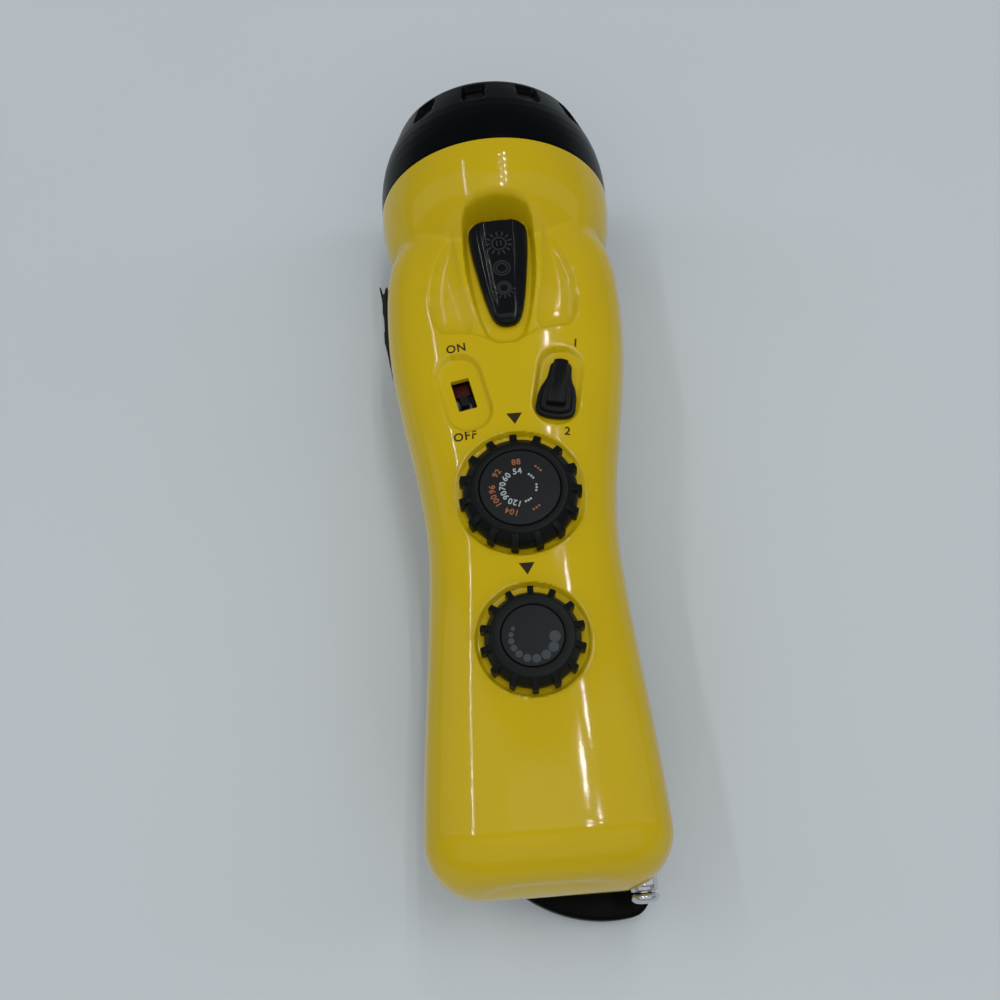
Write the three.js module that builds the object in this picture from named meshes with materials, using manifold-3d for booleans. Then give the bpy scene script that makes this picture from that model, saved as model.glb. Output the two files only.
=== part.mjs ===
// A hand crank flashlight with a radio, as an assembly of separate named pieces.
// Millimetres, +Z up. It lies on its back: controls face +Z, the lamp faces +Y, +X is to the right.
// Places along the body are measured from the tail; the group then moves to its middle.
import * as THREE from "three";
import { mergeVertices } from "three/addons/utils/BufferGeometryUtils.js";
import Module from "manifold-3d";

const wasm = await Module();
wasm.setup();

// Driving dimensions of the casing
const headRadius = 31;
const headAxisHeight = headRadius;
const partingHeight = 30;
const panelHeight = 50;
const backHeight = 11;
const wall = 2;
const gap = 0.3;
const overrun = 1;
const mergeDistance = 0.0001;
const tailHalfWidth = 26.6;
const waistHalfWidth = 22.5;
const shoulderInset = 0.8;
const shoulderHalfWidth = headRadius - shoulderInset;
const waistPlace = 74;
const shoulderPlace = 138;
const shoulderEndPlace = 170;
const shoulderRise = 2.6;
const riseStart = 116;
const riseEnd = 148;
const tailRound = 12;
const tailLean = 2;
const tailLeanReach = 24;
const headPlace = 177.8;
const rimPlace = 201.6;
const rimInset = 4.9;
const rimRadius = headRadius - rimInset;

// Shares that shape the casing
const tailFlareShare = 0.85;
const tailTopShare = 0.8;
const shoulderEndShares = { power: 3.5, root: 0.4, last: 0.93 };
const topSquareShare = 3.6;
const backSquareShare = 2.8;
const halfShare = 0.5;

// Thumb scoops on both sides of the slider channel
const scoop = {
  depth: 1.7, reach: 16.5, edge: 4, start: 122.5, startEdge: 5, end: 158, endEdge: 9,
};

// Facets
const casingSteps = 32;
const liningSteps = 16;
const roundSteps = 32;
const hollowSteps = 20;
const smallSteps = 16;
const pinSteps = 10;
const filletSteps = 5;

const finish = (color, roughness, metalness) =>
  new THREE.MeshStandardMaterial({ color, roughness, metalness });
const finishes = {
  yellow: finish(0xd6b40f, 0.22, 0),
  satinBlack: finish(0x111315, 0.45, 0),
  glossBlack: finish(0x08090a, 0.15, 0),
  charcoal: finish(0x23272a, 0.6, 0),
  label: finish(0x1b1e21, 0.5, 0),
  rubber: finish(0x151515, 0.8, 0),
  chrome: finish(0xd9dcdf, 0.12, 1),
  steel: finish(0xa9adb2, 0.35, 1),
  brass: finish(0xb9964a, 0.35, 1),
  copper: finish(0xa85f35, 0.4, 1),
  magnet: finish(0x3a3a3d, 0.5, 0.6),
  mirror: finish(0xe6e8ea, 0.06, 1),
  clear: finish(0xeef4f6, 0.05, 0),
  lamp: finish(0xf2f4ea, 0.15, 0),
  board: finish(0x1f5c3a, 0.5, 0),
  nylon: finish(0xe8e4d8, 0.5, 0),
  greyPlastic: finish(0x6c7074, 0.5, 0),
  darkRed: finish(0x5a1414, 0.5, 0),
  wrap: finish(0x2c5aa0, 0.4, 0),
};

const flashlight = new THREE.Group();
flashlight.name = "hand_crank_flashlight";

// Helpers that make closed solids, join them and cut them
function solid(geometry) {
  const bare = geometry.index ? geometry.toNonIndexed() : geometry.clone();
  bare.deleteAttribute("normal");
  bare.deleteAttribute("uv");
  const merged = mergeVertices(bare, mergeDistance);
  const corners = merged.index.array;
  const faces = [];
  for (let i = 0; i < corners.length; i += 3) {
    const [a, b, c] = [corners[i], corners[i + 1], corners[i + 2]];
    if (a !== b && b !== c && c !== a) faces.push([a, b, c]);
  }
  const make = (list) =>
    new wasm.Manifold(
      new wasm.Mesh({
        numProp: 3,
        vertProperties: merged.attributes.position.array,
        triVerts: new Uint32Array(list.flat()),
      }),
    );
  const made = make(faces);
  return made.volume() < 0 ? make(faces.map(([a, b, c]) => [a, c, b])) : made;
}

function geometryOf(shape) {
  const mesh = shape.getMesh();
  const geometry = new THREE.BufferGeometry();
  geometry.setAttribute("position", new THREE.BufferAttribute(mesh.vertProperties, 3));
  geometry.setIndex(new THREE.BufferAttribute(mesh.triVerts, 1));
  const faceted = geometry.toNonIndexed();
  faceted.computeVertexNormals();
  return faceted;
}

const join = (...shapes) => shapes.reduce((all, one) => all.add(one));
const cut = (shape, ...tools) => tools.reduce((left, tool) => left.subtract(tool), shape);
const moved = (geometry, x, y, z) => geometry.translate(x, y, z);

// A box by its lowest and highest corner
function block(low, high) {
  const size = high.map((value, i) => value - low[i]);
  const middle = high.map((value, i) => (value + low[i]) * halfShare);
  return solid(moved(new THREE.BoxGeometry(...size), ...middle));
}

// A round bar along Z between two heights, at x, y
function post(x, y, radius, bottom, top, steps = smallSteps) {
  const bar = new THREE.CylinderGeometry(radius, radius, top - bottom, steps);
  bar.rotateX(Math.PI / 2);
  return solid(moved(bar, x, y, (top + bottom) * halfShare));
}

// A round bar along Y between two places, at x, z
function barAlong(x, z, radius, from, to, steps = smallSteps) {
  const bar = new THREE.CylinderGeometry(radius, radius, to - from, steps);
  return solid(moved(bar, x, (to + from) * halfShare, z));
}

// A round bar along X between two places, at y, z
function barAcross(y, z, radius, from, to, steps = smallSteps) {
  const bar = new THREE.CylinderGeometry(radius, radius, to - from, steps);
  bar.rotateZ(Math.PI / 2);
  return solid(moved(bar, (to + from) * halfShare, y, z));
}

// A profile of [radius, place] pairs turned about the Y axis
function turned(profile, steps = smallSteps) {
  const points = profile.map(([radius, place]) => new THREE.Vector2(radius, place));
  return new THREE.LatheGeometry(points, steps);
}

// The same profile turned about the Z axis
function turnedUp(profile, steps = smallSteps) {
  return turned(profile, steps).rotateX(Math.PI / 2);
}

// An outline in the XY plane raised from one height to another
function raised(outline, bottom, top, steps = filletSteps) {
  const shape = new THREE.ExtrudeGeometry(outline, {
    depth: top - bottom,
    bevelEnabled: false,
    curveSegments: steps,
  });
  return shape.translate(0, 0, bottom);
}

function polygon(points) {
  return new THREE.Shape(points.map(([x, y]) => new THREE.Vector2(x, y)));
}

// A rectangle with round corners, centred on x, y
function roundedRectangle(width, length, radius, x = 0, y = 0) {
  const [w, l] = [width * halfShare, length * halfShare];
  const shape = new THREE.Shape();
  shape.absarc(x + w - radius, y - l + radius, radius, -Math.PI / 2, 0);
  shape.absarc(x + w - radius, y + l - radius, radius, 0, Math.PI / 2);
  shape.absarc(x - w + radius, y + l - radius, radius, Math.PI / 2, Math.PI);
  shape.absarc(x - w + radius, y - l + radius, radius, Math.PI, Math.PI * 1.5);
  return shape;
}

function circle(radius, x = 0, y = 0) {
  const shape = new THREE.Shape();
  shape.absarc(x, y, radius, 0, 2 * Math.PI);
  return shape;
}

// Adds a named piece, made in the frame of the holder that carries it
function piece(name, shape, material, holder = flashlight) {
  const mesh = new THREE.Mesh(geometryOf(shape), material);
  mesh.name = name;
  holder.add(mesh);
  return mesh;
}

function holderAt(x, y, z, turn = 0) {
  const holder = new THREE.Group();
  holder.position.set(x, y, z);
  holder.rotation.z = turn;
  flashlight.add(holder);
  return holder;
}

const smooth = (value) => {
  const share = Math.min(Math.max(value, 0), 1);
  return share * share * (3 - 2 * share);
};

// The casing's half width at a place along the body
function halfWidthAt(place) {
  if (place < waistPlace) {
    const share = ((waistPlace - Math.max(place, 0)) / waistPlace) ** tailFlareShare;
    return waistHalfWidth + (tailHalfWidth - waistHalfWidth) * smooth(share);
  }
  const share = (place - waistPlace) / (shoulderPlace - waistPlace);
  return waistHalfWidth + (shoulderHalfWidth - waistHalfWidth) * smooth(share);
}

// How far the shoulders still reach near their rounded end, from 1 down to 0
function shoulderEndAt(place) {
  const share = Math.max(place - shoulderPlace, 0) / (shoulderEndPlace - shoulderPlace);
  return (1 - share ** shoulderEndShares.power) ** shoulderEndShares.root;
}

function scoopAt(x, place) {
  const across = smooth((scoop.reach - Math.abs(x)) / scoop.edge);
  const start = smooth((place - scoop.start) / scoop.startEdge);
  const end = smooth((scoop.end - place) / scoop.endEdge);
  return scoop.depth * across * start * end;
}

// One ring of the casing: a squared oval, set in by a distance
function casingRing(place, inset, points, isOuter) {
  const reach = shoulderEndAt(place);
  const width = halfWidthAt(place) * reach - inset;
  const rise = shoulderRise * smooth((place - riseStart) / (riseEnd - riseStart));
  const top = (panelHeight - partingHeight + rise) * reach - inset * (isOuter ? tailTopShare : 1);
  const bottom = (partingHeight - backHeight) * reach - inset * (isOuter ? tailTopShare : 1);
  const lean = tailLean * (1 - smooth(place / tailLeanReach));
  const ring = [];
  for (let i = 0; i < points; i++) {
    const angle = (2 * Math.PI * i) / points;
    const [across, up] = [Math.cos(angle), Math.sin(angle)];
    const height = up > 0 ? top : bottom;
    const square = up > 0 ? topSquareShare : backSquareShare;
    const sum = Math.abs(across / width) ** square + Math.abs(up / height) ** square;
    const radius = sum ** (-1 / square);
    const [x, z] = [radius * across, radius * up];
    const dip = isOuter && up > 0 ? scoopAt(x, place) * smooth(z / height) : 0;
    ring.push([x, place + lean * (z / height) ** 2, partingHeight + z - dip]);
  }
  return ring;
}

// Rings of equal length joined by faces, with a fan over each end
function lofted(rings) {
  const positions = [];
  const count = rings[0].length;
  const centre = (ring) =>
    [0, 1, 2].map((axis) => ring.reduce((sum, point) => sum + point[axis], 0) / count);
  const face = (...corners) => positions.push(...corners.flat());
  for (let r = 0; r + 1 < rings.length; r++) {
    for (let i = 0; i < count; i++) {
      const next = (i + 1) % count;
      face(rings[r][i], rings[r][next], rings[r + 1][next]);
      face(rings[r][i], rings[r + 1][next], rings[r + 1][i]);
    }
  }
  const [first, last] = [rings[0], rings[rings.length - 1]];
  for (let i = 0; i < count; i++) {
    const next = (i + 1) % count;
    face(centre(first), first[next], first[i]);
    face(centre(last), last[i], last[next]);
  }
  const geometry = new THREE.BufferGeometry();
  geometry.setAttribute("position", new THREE.Float32BufferAttribute(positions, 3));
  return solid(geometry);
}

const spread = (from, to, count) =>
  Array.from({ length: count }, (_, i) => from + ((to - from) * i) / count);

const lastShoulderPlace =
  shoulderPlace + (shoulderEndPlace - shoulderPlace) * shoulderEndShares.last;
const tailAngleShares = [0, 0.18, 0.4, 0.68];

function casing(inset, points, waistCount, shoulderCount) {
  const isOuter = inset === 0;
  const round = tailRound - inset;
  const rings = tailAngleShares.map((share) => {
    const angle = share * (Math.PI / 2);
    const drawnIn = inset + round * (1 - Math.sin(angle));
    return casingRing(inset + round * (1 - Math.cos(angle)), drawnIn, points, isOuter);
  });
  const places = [
    ...spread(tailRound, riseStart, waistCount),
    ...spread(riseStart, lastShoulderPlace, shoulderCount),
    lastShoulderPlace,
  ];
  return lofted([...rings, ...places.map((place) => casingRing(place, inset, points, isOuter))]);
}

// The round head barrel, with a bowl shaped rear and a neck for the bezel
const bowlLength = 36;
const bowlPlace = headPlace - wall;
const neckStep = 2.6;
const neckRadius = headRadius - neckStep;
const neckLength = 6.2;
const neckWall = 1.8;
const bowlSteps = 8;
const hollowBowlSteps = 4;

function bowlProfile(radius, length, steps) {
  return Array.from({ length: steps + 1 }, (_, i) => {
    const angle = (i / steps) * (Math.PI / 2);
    return [radius * Math.sin(angle), bowlPlace - length * Math.cos(angle)];
  });
}

const onHeadAxis = (geometry) => moved(geometry, 0, 0, headAxisHeight);
const neckEnd = headPlace + neckLength;
const neckBore = neckRadius - neckWall;
const barrel = solid(
  onHeadAxis(
    turned(
      [
        ...bowlProfile(headRadius, bowlLength, bowlSteps),
        [headRadius, headPlace],
        [neckRadius, headPlace],
        [neckRadius, neckEnd],
        [0, neckEnd],
      ],
      roundSteps,
    ),
  ),
);
const barrelHollow = solid(
  onHeadAxis(
    turned(
      [
        ...bowlProfile(neckBore, bowlLength - wall, hollowBowlSteps),
        [neckBore, neckEnd + overrun],
        [0, neckEnd + overrun],
      ],
      hollowSteps,
    ),
  ),
);

// Slider channel and slider
const slider = {
  width: 15, tipRadius: 3.9, headPlace: 158, tipPlace: 128.6, headBow: 2.2, tipHeight: 2.4,
  headHeight: 4.2, bevel: 1.6, travel: 3, postWidth: 3.4, postLength: 4.4, place: 144,
};
const channel = {
  margin: 2, tipMargin: 5.6, headMargin: 3.4, floor: panelHeight, floorThickness: 1.5,
};

// A blunt wedge outline, wide at the head and round at the tip, grown by a margin
function wedge(grow, tipGrow, headGrow) {
  const halfWidth = slider.width * halfShare + grow;
  const tipRadius = slider.tipRadius + grow;
  const tip = slider.tipPlace - tipGrow;
  const head = slider.headPlace + headGrow;
  const shape = new THREE.Shape();
  shape.moveTo(-halfWidth, head);
  shape.quadraticCurveTo(-halfWidth * halfShare, head + slider.headBow, 0, head + slider.headBow);
  shape.quadraticCurveTo(halfWidth * halfShare, head + slider.headBow, halfWidth, head);
  shape.quadraticCurveTo(halfWidth, tip + (head - tip) * halfShare, tipRadius, tip + tipRadius);
  shape.absarc(0, tip + tipRadius, tipRadius, 0, -Math.PI, true);
  shape.quadraticCurveTo(-halfWidth, tip + (head - tip) * halfShare, -halfWidth, head);
  return shape;
}

const highest = headAxisHeight + headRadius + panelHeight;
const channelOutline = wedge(channel.margin, channel.tipMargin - channel.margin, channel.headMargin);
const channelCut = solid(raised(channelOutline, channel.floor, highest));
const channelPad = solid(
  raised(
    wedge(channel.margin + wall, channel.tipMargin, channel.headMargin + wall),
    channel.floor - channel.floorThickness,
    highest,
  ),
);
const sliderBottom = channel.floor + gap;
const sliderSlot = block(
  [
    -slider.postWidth * halfShare - gap,
    slider.place - slider.postLength * halfShare - slider.travel - gap,
    channel.floor - channel.floorThickness - overrun,
  ],
  [
    slider.postWidth * halfShare + gap,
    slider.place + slider.postLength * halfShare + slider.travel + gap,
    channel.floor + overrun,
  ],
);

// Switch recesses, one on each side, leaning outwards at the head end
const recess = {
  x: 11.5, place: 112.1, width: 11, length: 20.2, round: 5.2, depth: 1.6, floorThickness: 1.5,
  lean: (10.3 * Math.PI) / 180,
};
const recessFloor = panelHeight - recess.depth;
const switchSlot = { width: 4.6, length: 8 };
const capSlot = { width: 3, length: 7.4 };
const hands = [-1, 1];

function leaning(geometry, hand) {
  geometry.rotateZ(-hand * recess.lean);
  return solid(moved(geometry, hand * recess.x, recess.place, 0));
}

const recessCuts = hands.map((hand) =>
  leaning(
    raised(roundedRectangle(recess.width, recess.length, recess.round), recessFloor, highest),
    hand,
  ),
);
const recessPads = hands.map((hand) =>
  leaning(
    raised(
      roundedRectangle(recess.width + 2 * wall, recess.length + 2 * wall, recess.round),
      recessFloor - recess.floorThickness,
      highest,
    ),
    hand,
  ),
);
const slotBottom = recessFloor - recess.floorThickness - overrun;
const slotCuts = [
  leaning(raised(roundedRectangle(switchSlot.width, switchSlot.length, gap), slotBottom, highest), -1),
  leaning(raised(roundedRectangle(capSlot.width, capSlot.length, gap), slotBottom, highest), 1),
];

// Dials
const dialDepth = 1.4;
const dialFloor = panelHeight - dialDepth;
const dialFloorThickness = 1.2;
const tuning = {
  place: 84.4, radius: 13.2, ribRadius: 13.9, ribs: 15, firstRib: (98.7 * Math.PI) / 180,
  labelRadius: 9, recessMargin: 1.3,
};
const volume = {
  place: 50.3, radius: 10.5, ribRadius: 11.4, ribs: 14, firstRib: (92 * Math.PI) / 180,
  labelRadius: 6.6, recessMargin: 0.9,
};
const dial = {
  height: 4.2, ribWidth: 2, chamfer: 0.8, labelDepth: 0.5, labelThickness: 0.35, shaftRadius: 3,
  shaftCover: 1.9,
};
const dialTop = panelHeight + dial.height;
const dialCuts = [tuning, volume].flatMap((one) => [
  post(0, one.place, one.ribRadius + one.recessMargin, dialFloor, highest, roundSteps),
  post(0, one.place, dial.shaftRadius + gap, dialFloor - dialFloorThickness - overrun, highest),
]);
const dialPads = [tuning, volume].map((one) =>
  post(0, one.place, one.ribRadius + one.recessMargin, dialFloor - dialFloorThickness, highest),
);

// Boards, with the heights that the posts of the front shell reach down to
const boardThickness = 1.6;
const mainBoard = {
  drop: 19, halfWidth: 15, start: 38, end: 101, notchX: 7, notchEnd: 52,
};
const switchBoard = { drop: 11, inset: 14.2, start: 103.5, end: 149 };
const switchBoardHalfWidth = shoulderHalfWidth - switchBoard.inset;
const mainBoardBottom = panelHeight - mainBoard.drop;
const switchBoardBottom = panelHeight - switchBoard.drop;
const boardPosts = { radius: 1.8, inset: 2, tailPlace: 42, middlePlace: 97, switchPlace: 136 };
const mainPostX = mainBoard.halfWidth - boardPosts.inset;
const switchPostX = switchBoardHalfWidth - boardPosts.inset;
const frontPosts = [
  [-mainPostX, boardPosts.tailPlace, mainBoardBottom],
  [-mainPostX, boardPosts.middlePlace, mainBoardBottom],
  [mainPostX, boardPosts.middlePlace, mainBoardBottom],
  [-switchPostX, boardPosts.switchPlace, switchBoardBottom],
  [switchPostX, boardPosts.switchPlace, switchBoardBottom],
].map(([x, y, bottom]) =>
  post(x, y, boardPosts.radius, bottom + boardThickness + gap, highest, pinSteps),
);

// Casing screws, driven from the back into bosses of the front shell
const screw = {
  tailInset: 6.1, tailPlace: 16, waistInset: 11.3, waistPlace: 47, shoulderInset: 9.2,
  shoulderPlace: 118, headRadius: 2.3, headHeight: 1.6, shankRadius: 1.3, seat: 20, end: 38,
  bossRadius: 3.2, backBossRadius: 3.8,
};
const screwPlaces = [
  [-(tailHalfWidth - screw.tailInset), screw.tailPlace],
  [waistHalfWidth - screw.waistInset, screw.waistPlace],
  [-(shoulderHalfWidth - screw.shoulderInset), screw.shoulderPlace],
  [shoulderHalfWidth - screw.shoulderInset, screw.shoulderPlace],
];
const seamBelow = partingHeight - gap * halfShare;
const seamAbove = partingHeight + gap * halfShare;
const lowest = -overrun;
const frontBosses = screwPlaces.map(([x, y]) =>
  post(x, y, screw.bossRadius, seamAbove, highest, smallSteps),
);
const pilotHoles = screwPlaces.map(([x, y]) =>
  post(x, y, screw.shankRadius + gap, seamAbove - overrun, screw.end + overrun, pinSteps),
);
const backBosses = screwPlaces.map(([x, y]) =>
  post(x, y, screw.backBossRadius, lowest, seamBelow, smallSteps),
);
const screwHoles = screwPlaces.flatMap(([x, y]) => [
  post(x, y, screw.shankRadius + gap, lowest, seamBelow + overrun, pinSteps),
  post(x, y, screw.headRadius + gap, lowest, screw.seat, smallSteps),
]);

// Crank, its shaft and the gear train
const crankPlace = 66;
const crank = {
  thickness: 8, hubRadius: 14, hubRise: 1.9, endX: 13.5, endPlace: 28, endRadius: 33,
  rightX: 23.7, rightPlace: 26, leftX: -13, leftPlace: 12, corner: 3.5, round: 1,
};
const shaft = { radius: 2.8, top: 27.9, bottom: 2.6 };
const bushing = { radius: 4.4, flangeRadius: 6, flangeHeight: 0.5, top: 14.6 };
const bushingBottom = crank.thickness + crank.hubRise + gap;
const driveRadius = 16;
const gears = {
  addendumShare: 0.85, dedendumShare: 1.15, tipShare: 0.4, rootShare: 1.18,
};
const driveTeeth = 32;
const pinionTeeth = 10;
const wheelTeeth = 30;
const rotorTeeth = 8;
const radiusPerTooth = driveRadius / driveTeeth;
const reductionPlace = crankPlace + (driveTeeth + pinionTeeth) * radiusPerTooth;
const rotorPlace = reductionPlace + (wheelTeeth + rotorTeeth) * radiusPerTooth;
const gearLevels = { driveBottom: 19, driveTop: 22, wheelBottom: 23, wheelTop: 25.5 };
const gearPlate = {
  bottom: 26, thickness: 1.5, postRadius: 2, margin: 2.5, tailPostX: 12, tailPostPlace: 50,
  postX: 15.5, postPlace: 99, hubReach: 8, waistX: 12, noseX: 8, noseReach: 12,
};
const gearPosts = [
  [-gearPlate.tailPostX, gearPlate.tailPostPlace],
  [-gearPlate.postX, gearPlate.postPlace],
  [gearPlate.postX, gearPlate.postPlace],
].map(([x, y]) =>
  post(x, y, gearPlate.postRadius, lowest, gearPlate.bottom - gap, pinSteps),
);
const axle = { radius: 1.2, bottom: 13.4, top: 28 };
const stator = { radius: 12, bore: 9.2, bottom: 14.7, top: 21.2 };
const rotor = { radius: 8.6, bottom: 15.2, top: 20.6, shaftRadius: 0.9, shaftBottom: 13.4 };

// Speaker behind a slotted grille
const speaker = {
  place: 134, radius: 14, bottom: 14.6, rim: 1.4, magnetRadius: 8, coneTop: 21, magnetTop: 27,
  seatWidth: 3,
};
const grille = { slots: 7, slotWidth: 1.4, pitch: 3 };
const speakerSeat = cut(
  post(0, speaker.place, speaker.radius + overrun, lowest, speaker.bottom - gap, roundSteps),
  post(
    0, speaker.place, speaker.radius - speaker.seatWidth, lowest - overrun, speaker.bottom,
    roundSteps,
  ),
);
const grilleSlots = Array.from({ length: grille.slots }, (_, i) => {
  const offset = (i - (grille.slots - 1) / 2) * grille.pitch;
  const inner = speaker.radius - speaker.seatWidth;
  const half = Math.sqrt(inner ** 2 - offset ** 2) - grille.slotWidth;
  const place = speaker.place + offset;
  return block(
    [-half, place - grille.slotWidth * halfShare, lowest],
    [half, place + grille.slotWidth * halfShare, speaker.bottom],
  );
});

// Antenna, pushed in, at the right tail corner
const antenna = {
  inset: 7, drop: 3, sectionRecess: 2.8, sectionStagger: 1, lean: (1.6 * Math.PI) / 180,
  length: 60, collarRadius: 3.1,
  collarLength: 8, tubeRadius: 2.8, bore: 2.4, mouth: -0.2, tipRadius: 3.3, tipLength: 2.6,
  tipGroove: 0.5,
};
const antennaX = tailHalfWidth - antenna.inset;
const antennaHeight = partingHeight - antenna.drop;
const outerSection = { radius: 2.1, bore: 1.75 };
const innerSection = { radius: 1.45, bore: 1.15 };
const antennaSections = [outerSection, innerSection];
const antennaRodRadius = 0.85;
const sectionEnd = (i) => antenna.length - antenna.sectionRecess - i * antenna.sectionStagger;

function leanedAntenna(geometry) {
  geometry.rotateZ(antenna.lean);
  return solid(moved(geometry, antennaX, 0, antennaHeight));
}

const antennaHole = leanedAntenna(
  turned(
    [
      [0, -tailRound],
      [antenna.collarRadius + gap, -tailRound],
      [antenna.collarRadius + gap, antenna.collarLength + gap],
      [antenna.tubeRadius + gap, antenna.collarLength + gap],
      [antenna.tubeRadius + gap, antenna.length + overrun],
      [0, antenna.length + overrun],
    ],
    smallSteps,
  ),
);

// Port cover on the left side, and the two jacks behind it
const cover = {
  halfHeight: 5.5, sunk: 0.3, thin: 0.9, thick: 1.3, anchorStart: 126.6, hinge: 129.5,
  hingeGap: 0.6, step: 133.4, tab: 148, end: 156.5, tabSpread: 2.3, margin: 0.5,
  notch: 151.5, prong: 154.6, prongLift: 0.3, prongThickness: 0.5, tabThickness: 0.6,
  studRadius: 1.2, studPlace: 127.8, studLength: 4,
};
const coverInner = shoulderHalfWidth - cover.sunk;
const coverLow = partingHeight - cover.halfHeight;
const coverHigh = partingHeight + cover.halfHeight;
const powerJack = { place: 136, hole: 3.3, plug: 2.3, half: 4.4, length: 9, depth: 7, pin: 1 };
const phoneJack = { place: 144.6, hole: 2.2, plug: 1.5, half: 3.2, length: 11, depth: 9, pin: 0 };

// The inside half width of the casing at a place, a small distance off the parting plane
function insideHalfWidth(place, distance) {
  const ring = casingRing(place, wall, liningSteps, false);
  const side = ring[0][0];
  const neighbours = [ring[1], ring[liningSteps - 1]];
  return Math.min(
    ...neighbours.map(([x, , z]) => side + ((x - side) * distance) / Math.abs(z - partingHeight)),
  );
}

const jackFace = insideHalfWidth(powerJack.place - powerJack.half, powerJack.half) - gap;
const plugLength = coverInner - jackFace - gap;
const jackHoles = [powerJack, phoneJack].map((jack) =>
  barAcross(
    jack.place, partingHeight, jack.hole, -shoulderHalfWidth - overrun, -jackFace + overrun,
    smallSteps,
  ),
);
const coverRecess = block(
  [-shoulderHalfWidth - overrun, cover.anchorStart - cover.margin, coverLow - cover.margin],
  [-(coverInner - gap), cover.tab + cover.margin, coverHigh + cover.margin],
);
const studHole = barAcross(
  cover.studPlace, partingHeight, cover.studRadius + gap, -shoulderHalfWidth - overrun,
  -coverInner + cover.studLength + overrun, pinSteps,
);

// Ferrite rod clips, ribs of the front shell
const ferrite = {
  place: 24, drop: 10, radius: 4, halfLength: 17, coilRadius: 5.2, coilHalfLength: 7, clipX: 12,
  clipThickness: 1.6, clipHalfWidth: 6, clipDrop: 2,
};
const ferriteHeight = panelHeight - ferrite.drop;
const ferriteClips = hands.map((hand) => {
  const [from, to] = [-1, 1].map((side) => hand * ferrite.clipX + (side * ferrite.clipThickness) / 2);
  return cut(
    block(
      [from, ferrite.place - ferrite.clipHalfWidth, ferriteHeight - ferrite.clipDrop],
      [to, ferrite.place + ferrite.clipHalfWidth, highest],
    ),
    barAcross(ferrite.place, ferriteHeight, ferrite.radius + gap, from - overrun, to + overrun),
  );
});

// The two shells, cut from one hollow casing at the parting plane
const outerBody = join(casing(0, casingSteps, 10, 10), barrel);
const innerBody = join(casing(wall, liningSteps, 5, 4), barrelHollow);
const wideReach = 2 * rimPlace;
const above = block([-wideReach, -wideReach, seamAbove], [wideReach, wideReach, wideReach]);
const below = block([-wideReach, -wideReach, -wideReach], [wideReach, wideReach, seamBelow]);
const frontHollow = cut(
  innerBody, channelPad, ...recessPads, ...dialPads, ...frontPosts, ...frontBosses, ...ferriteClips,
);
const sideCuts = [...jackHoles, coverRecess, studHole, antennaHole];
const frontShell = cut(
  outerBody.intersect(above), frontHollow, channelCut, sliderSlot, ...recessCuts, ...slotCuts,
  ...dialCuts, ...pilotHoles, ...sideCuts,
);
const backHollow = cut(innerBody, ...backBosses, ...gearPosts, speakerSeat);
const backShell = cut(
  outerBody.intersect(below), backHollow, ...screwHoles, ...grilleSlots, ...sideCuts,
  post(0, crankPlace, bushing.radius + gap, lowest, bushing.top),
);
piece("front_shell", frontShell, finishes.yellow);
piece("back_shell", backShell, finishes.yellow);

screwPlaces.forEach(([x, y], i) => {
  const holder = holderAt(x, y, screw.seat - gap);
  const profile = [
    [0, -screw.headHeight],
    [screw.headRadius, -screw.headHeight],
    [screw.headRadius, 0],
    [screw.shankRadius, 0],
    [screw.shankRadius, screw.end - screw.seat],
    [0, screw.end - screw.seat],
  ];
  piece("body_screw_" + (i + 1), solid(turnedUp(profile, pinSteps)), finishes.steel, holder);
});

// Bezel ring, screwed over the neck, with pockets round its front
const bezel = {
  lipWidth: 2.5, lipThickness: 2, seatWall: 0.8, seatBack: 193, boreBack: 185, pockets: 12,
  pocketWidth: 5.2, pocketDepth: 1.3, pocketFront: 199.6, pocketBack: 194.6,
  firstPocket: (10 * Math.PI) / 180,
};
const bezelStart = headPlace + gap;
const lipPlace = rimPlace - bezel.lipThickness;
const lipRadius = rimRadius - bezel.lipWidth;
const seatRadius = rimRadius - bezel.seatWall;
const bezelSlopeShares = [[1, 0], [1, 0.2], [0.82, 0.45], [0.56, 0.68], [0.3, 0.86], [0.14, 0.955]];
const bezelOuter = bezelSlopeShares.map(([radiusShare, placeShare]) => [
  rimRadius + (headRadius - rimRadius) * radiusShare,
  bezelStart + (rimPlace - bezelStart) * placeShare,
]);
const bezelRing = solid(
  turned(
    [
      ...bezelOuter,
      [rimRadius, rimPlace],
      [lipRadius + overrun, rimPlace],
      [lipRadius, lipPlace + overrun],
      [lipRadius, lipPlace],
      [seatRadius, lipPlace],
      [seatRadius, bezel.seatBack],
      [neckRadius + gap, bezel.boreBack],
      [neckRadius + gap, bezelStart],
      bezelOuter[0],
    ],
    roundSteps,
  ),
);
const pocketMiddle = (bezel.pocketFront + bezel.pocketBack) * halfShare;
const pocketRadius = rimRadius + (headRadius - rimRadius) * halfShare;
const pockets = Array.from({ length: bezel.pockets }, (_, i) => {
  const tool = new THREE.BoxGeometry(
    bezel.pocketWidth, bezel.pocketFront - bezel.pocketBack, headRadius - rimRadius,
  );
  tool.translate(0, pocketMiddle, pocketRadius - bezel.pocketDepth + (headRadius - rimRadius) / 2);
  tool.rotateY(bezel.firstPocket + (2 * Math.PI * i) / bezel.pockets);
  return solid(tool);
});
const head = new THREE.Group();
head.position.z = headAxisHeight;
flashlight.add(head);
piece("bezel_ring", cut(bezelRing, ...pockets), finishes.satinBlack, head);

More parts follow.
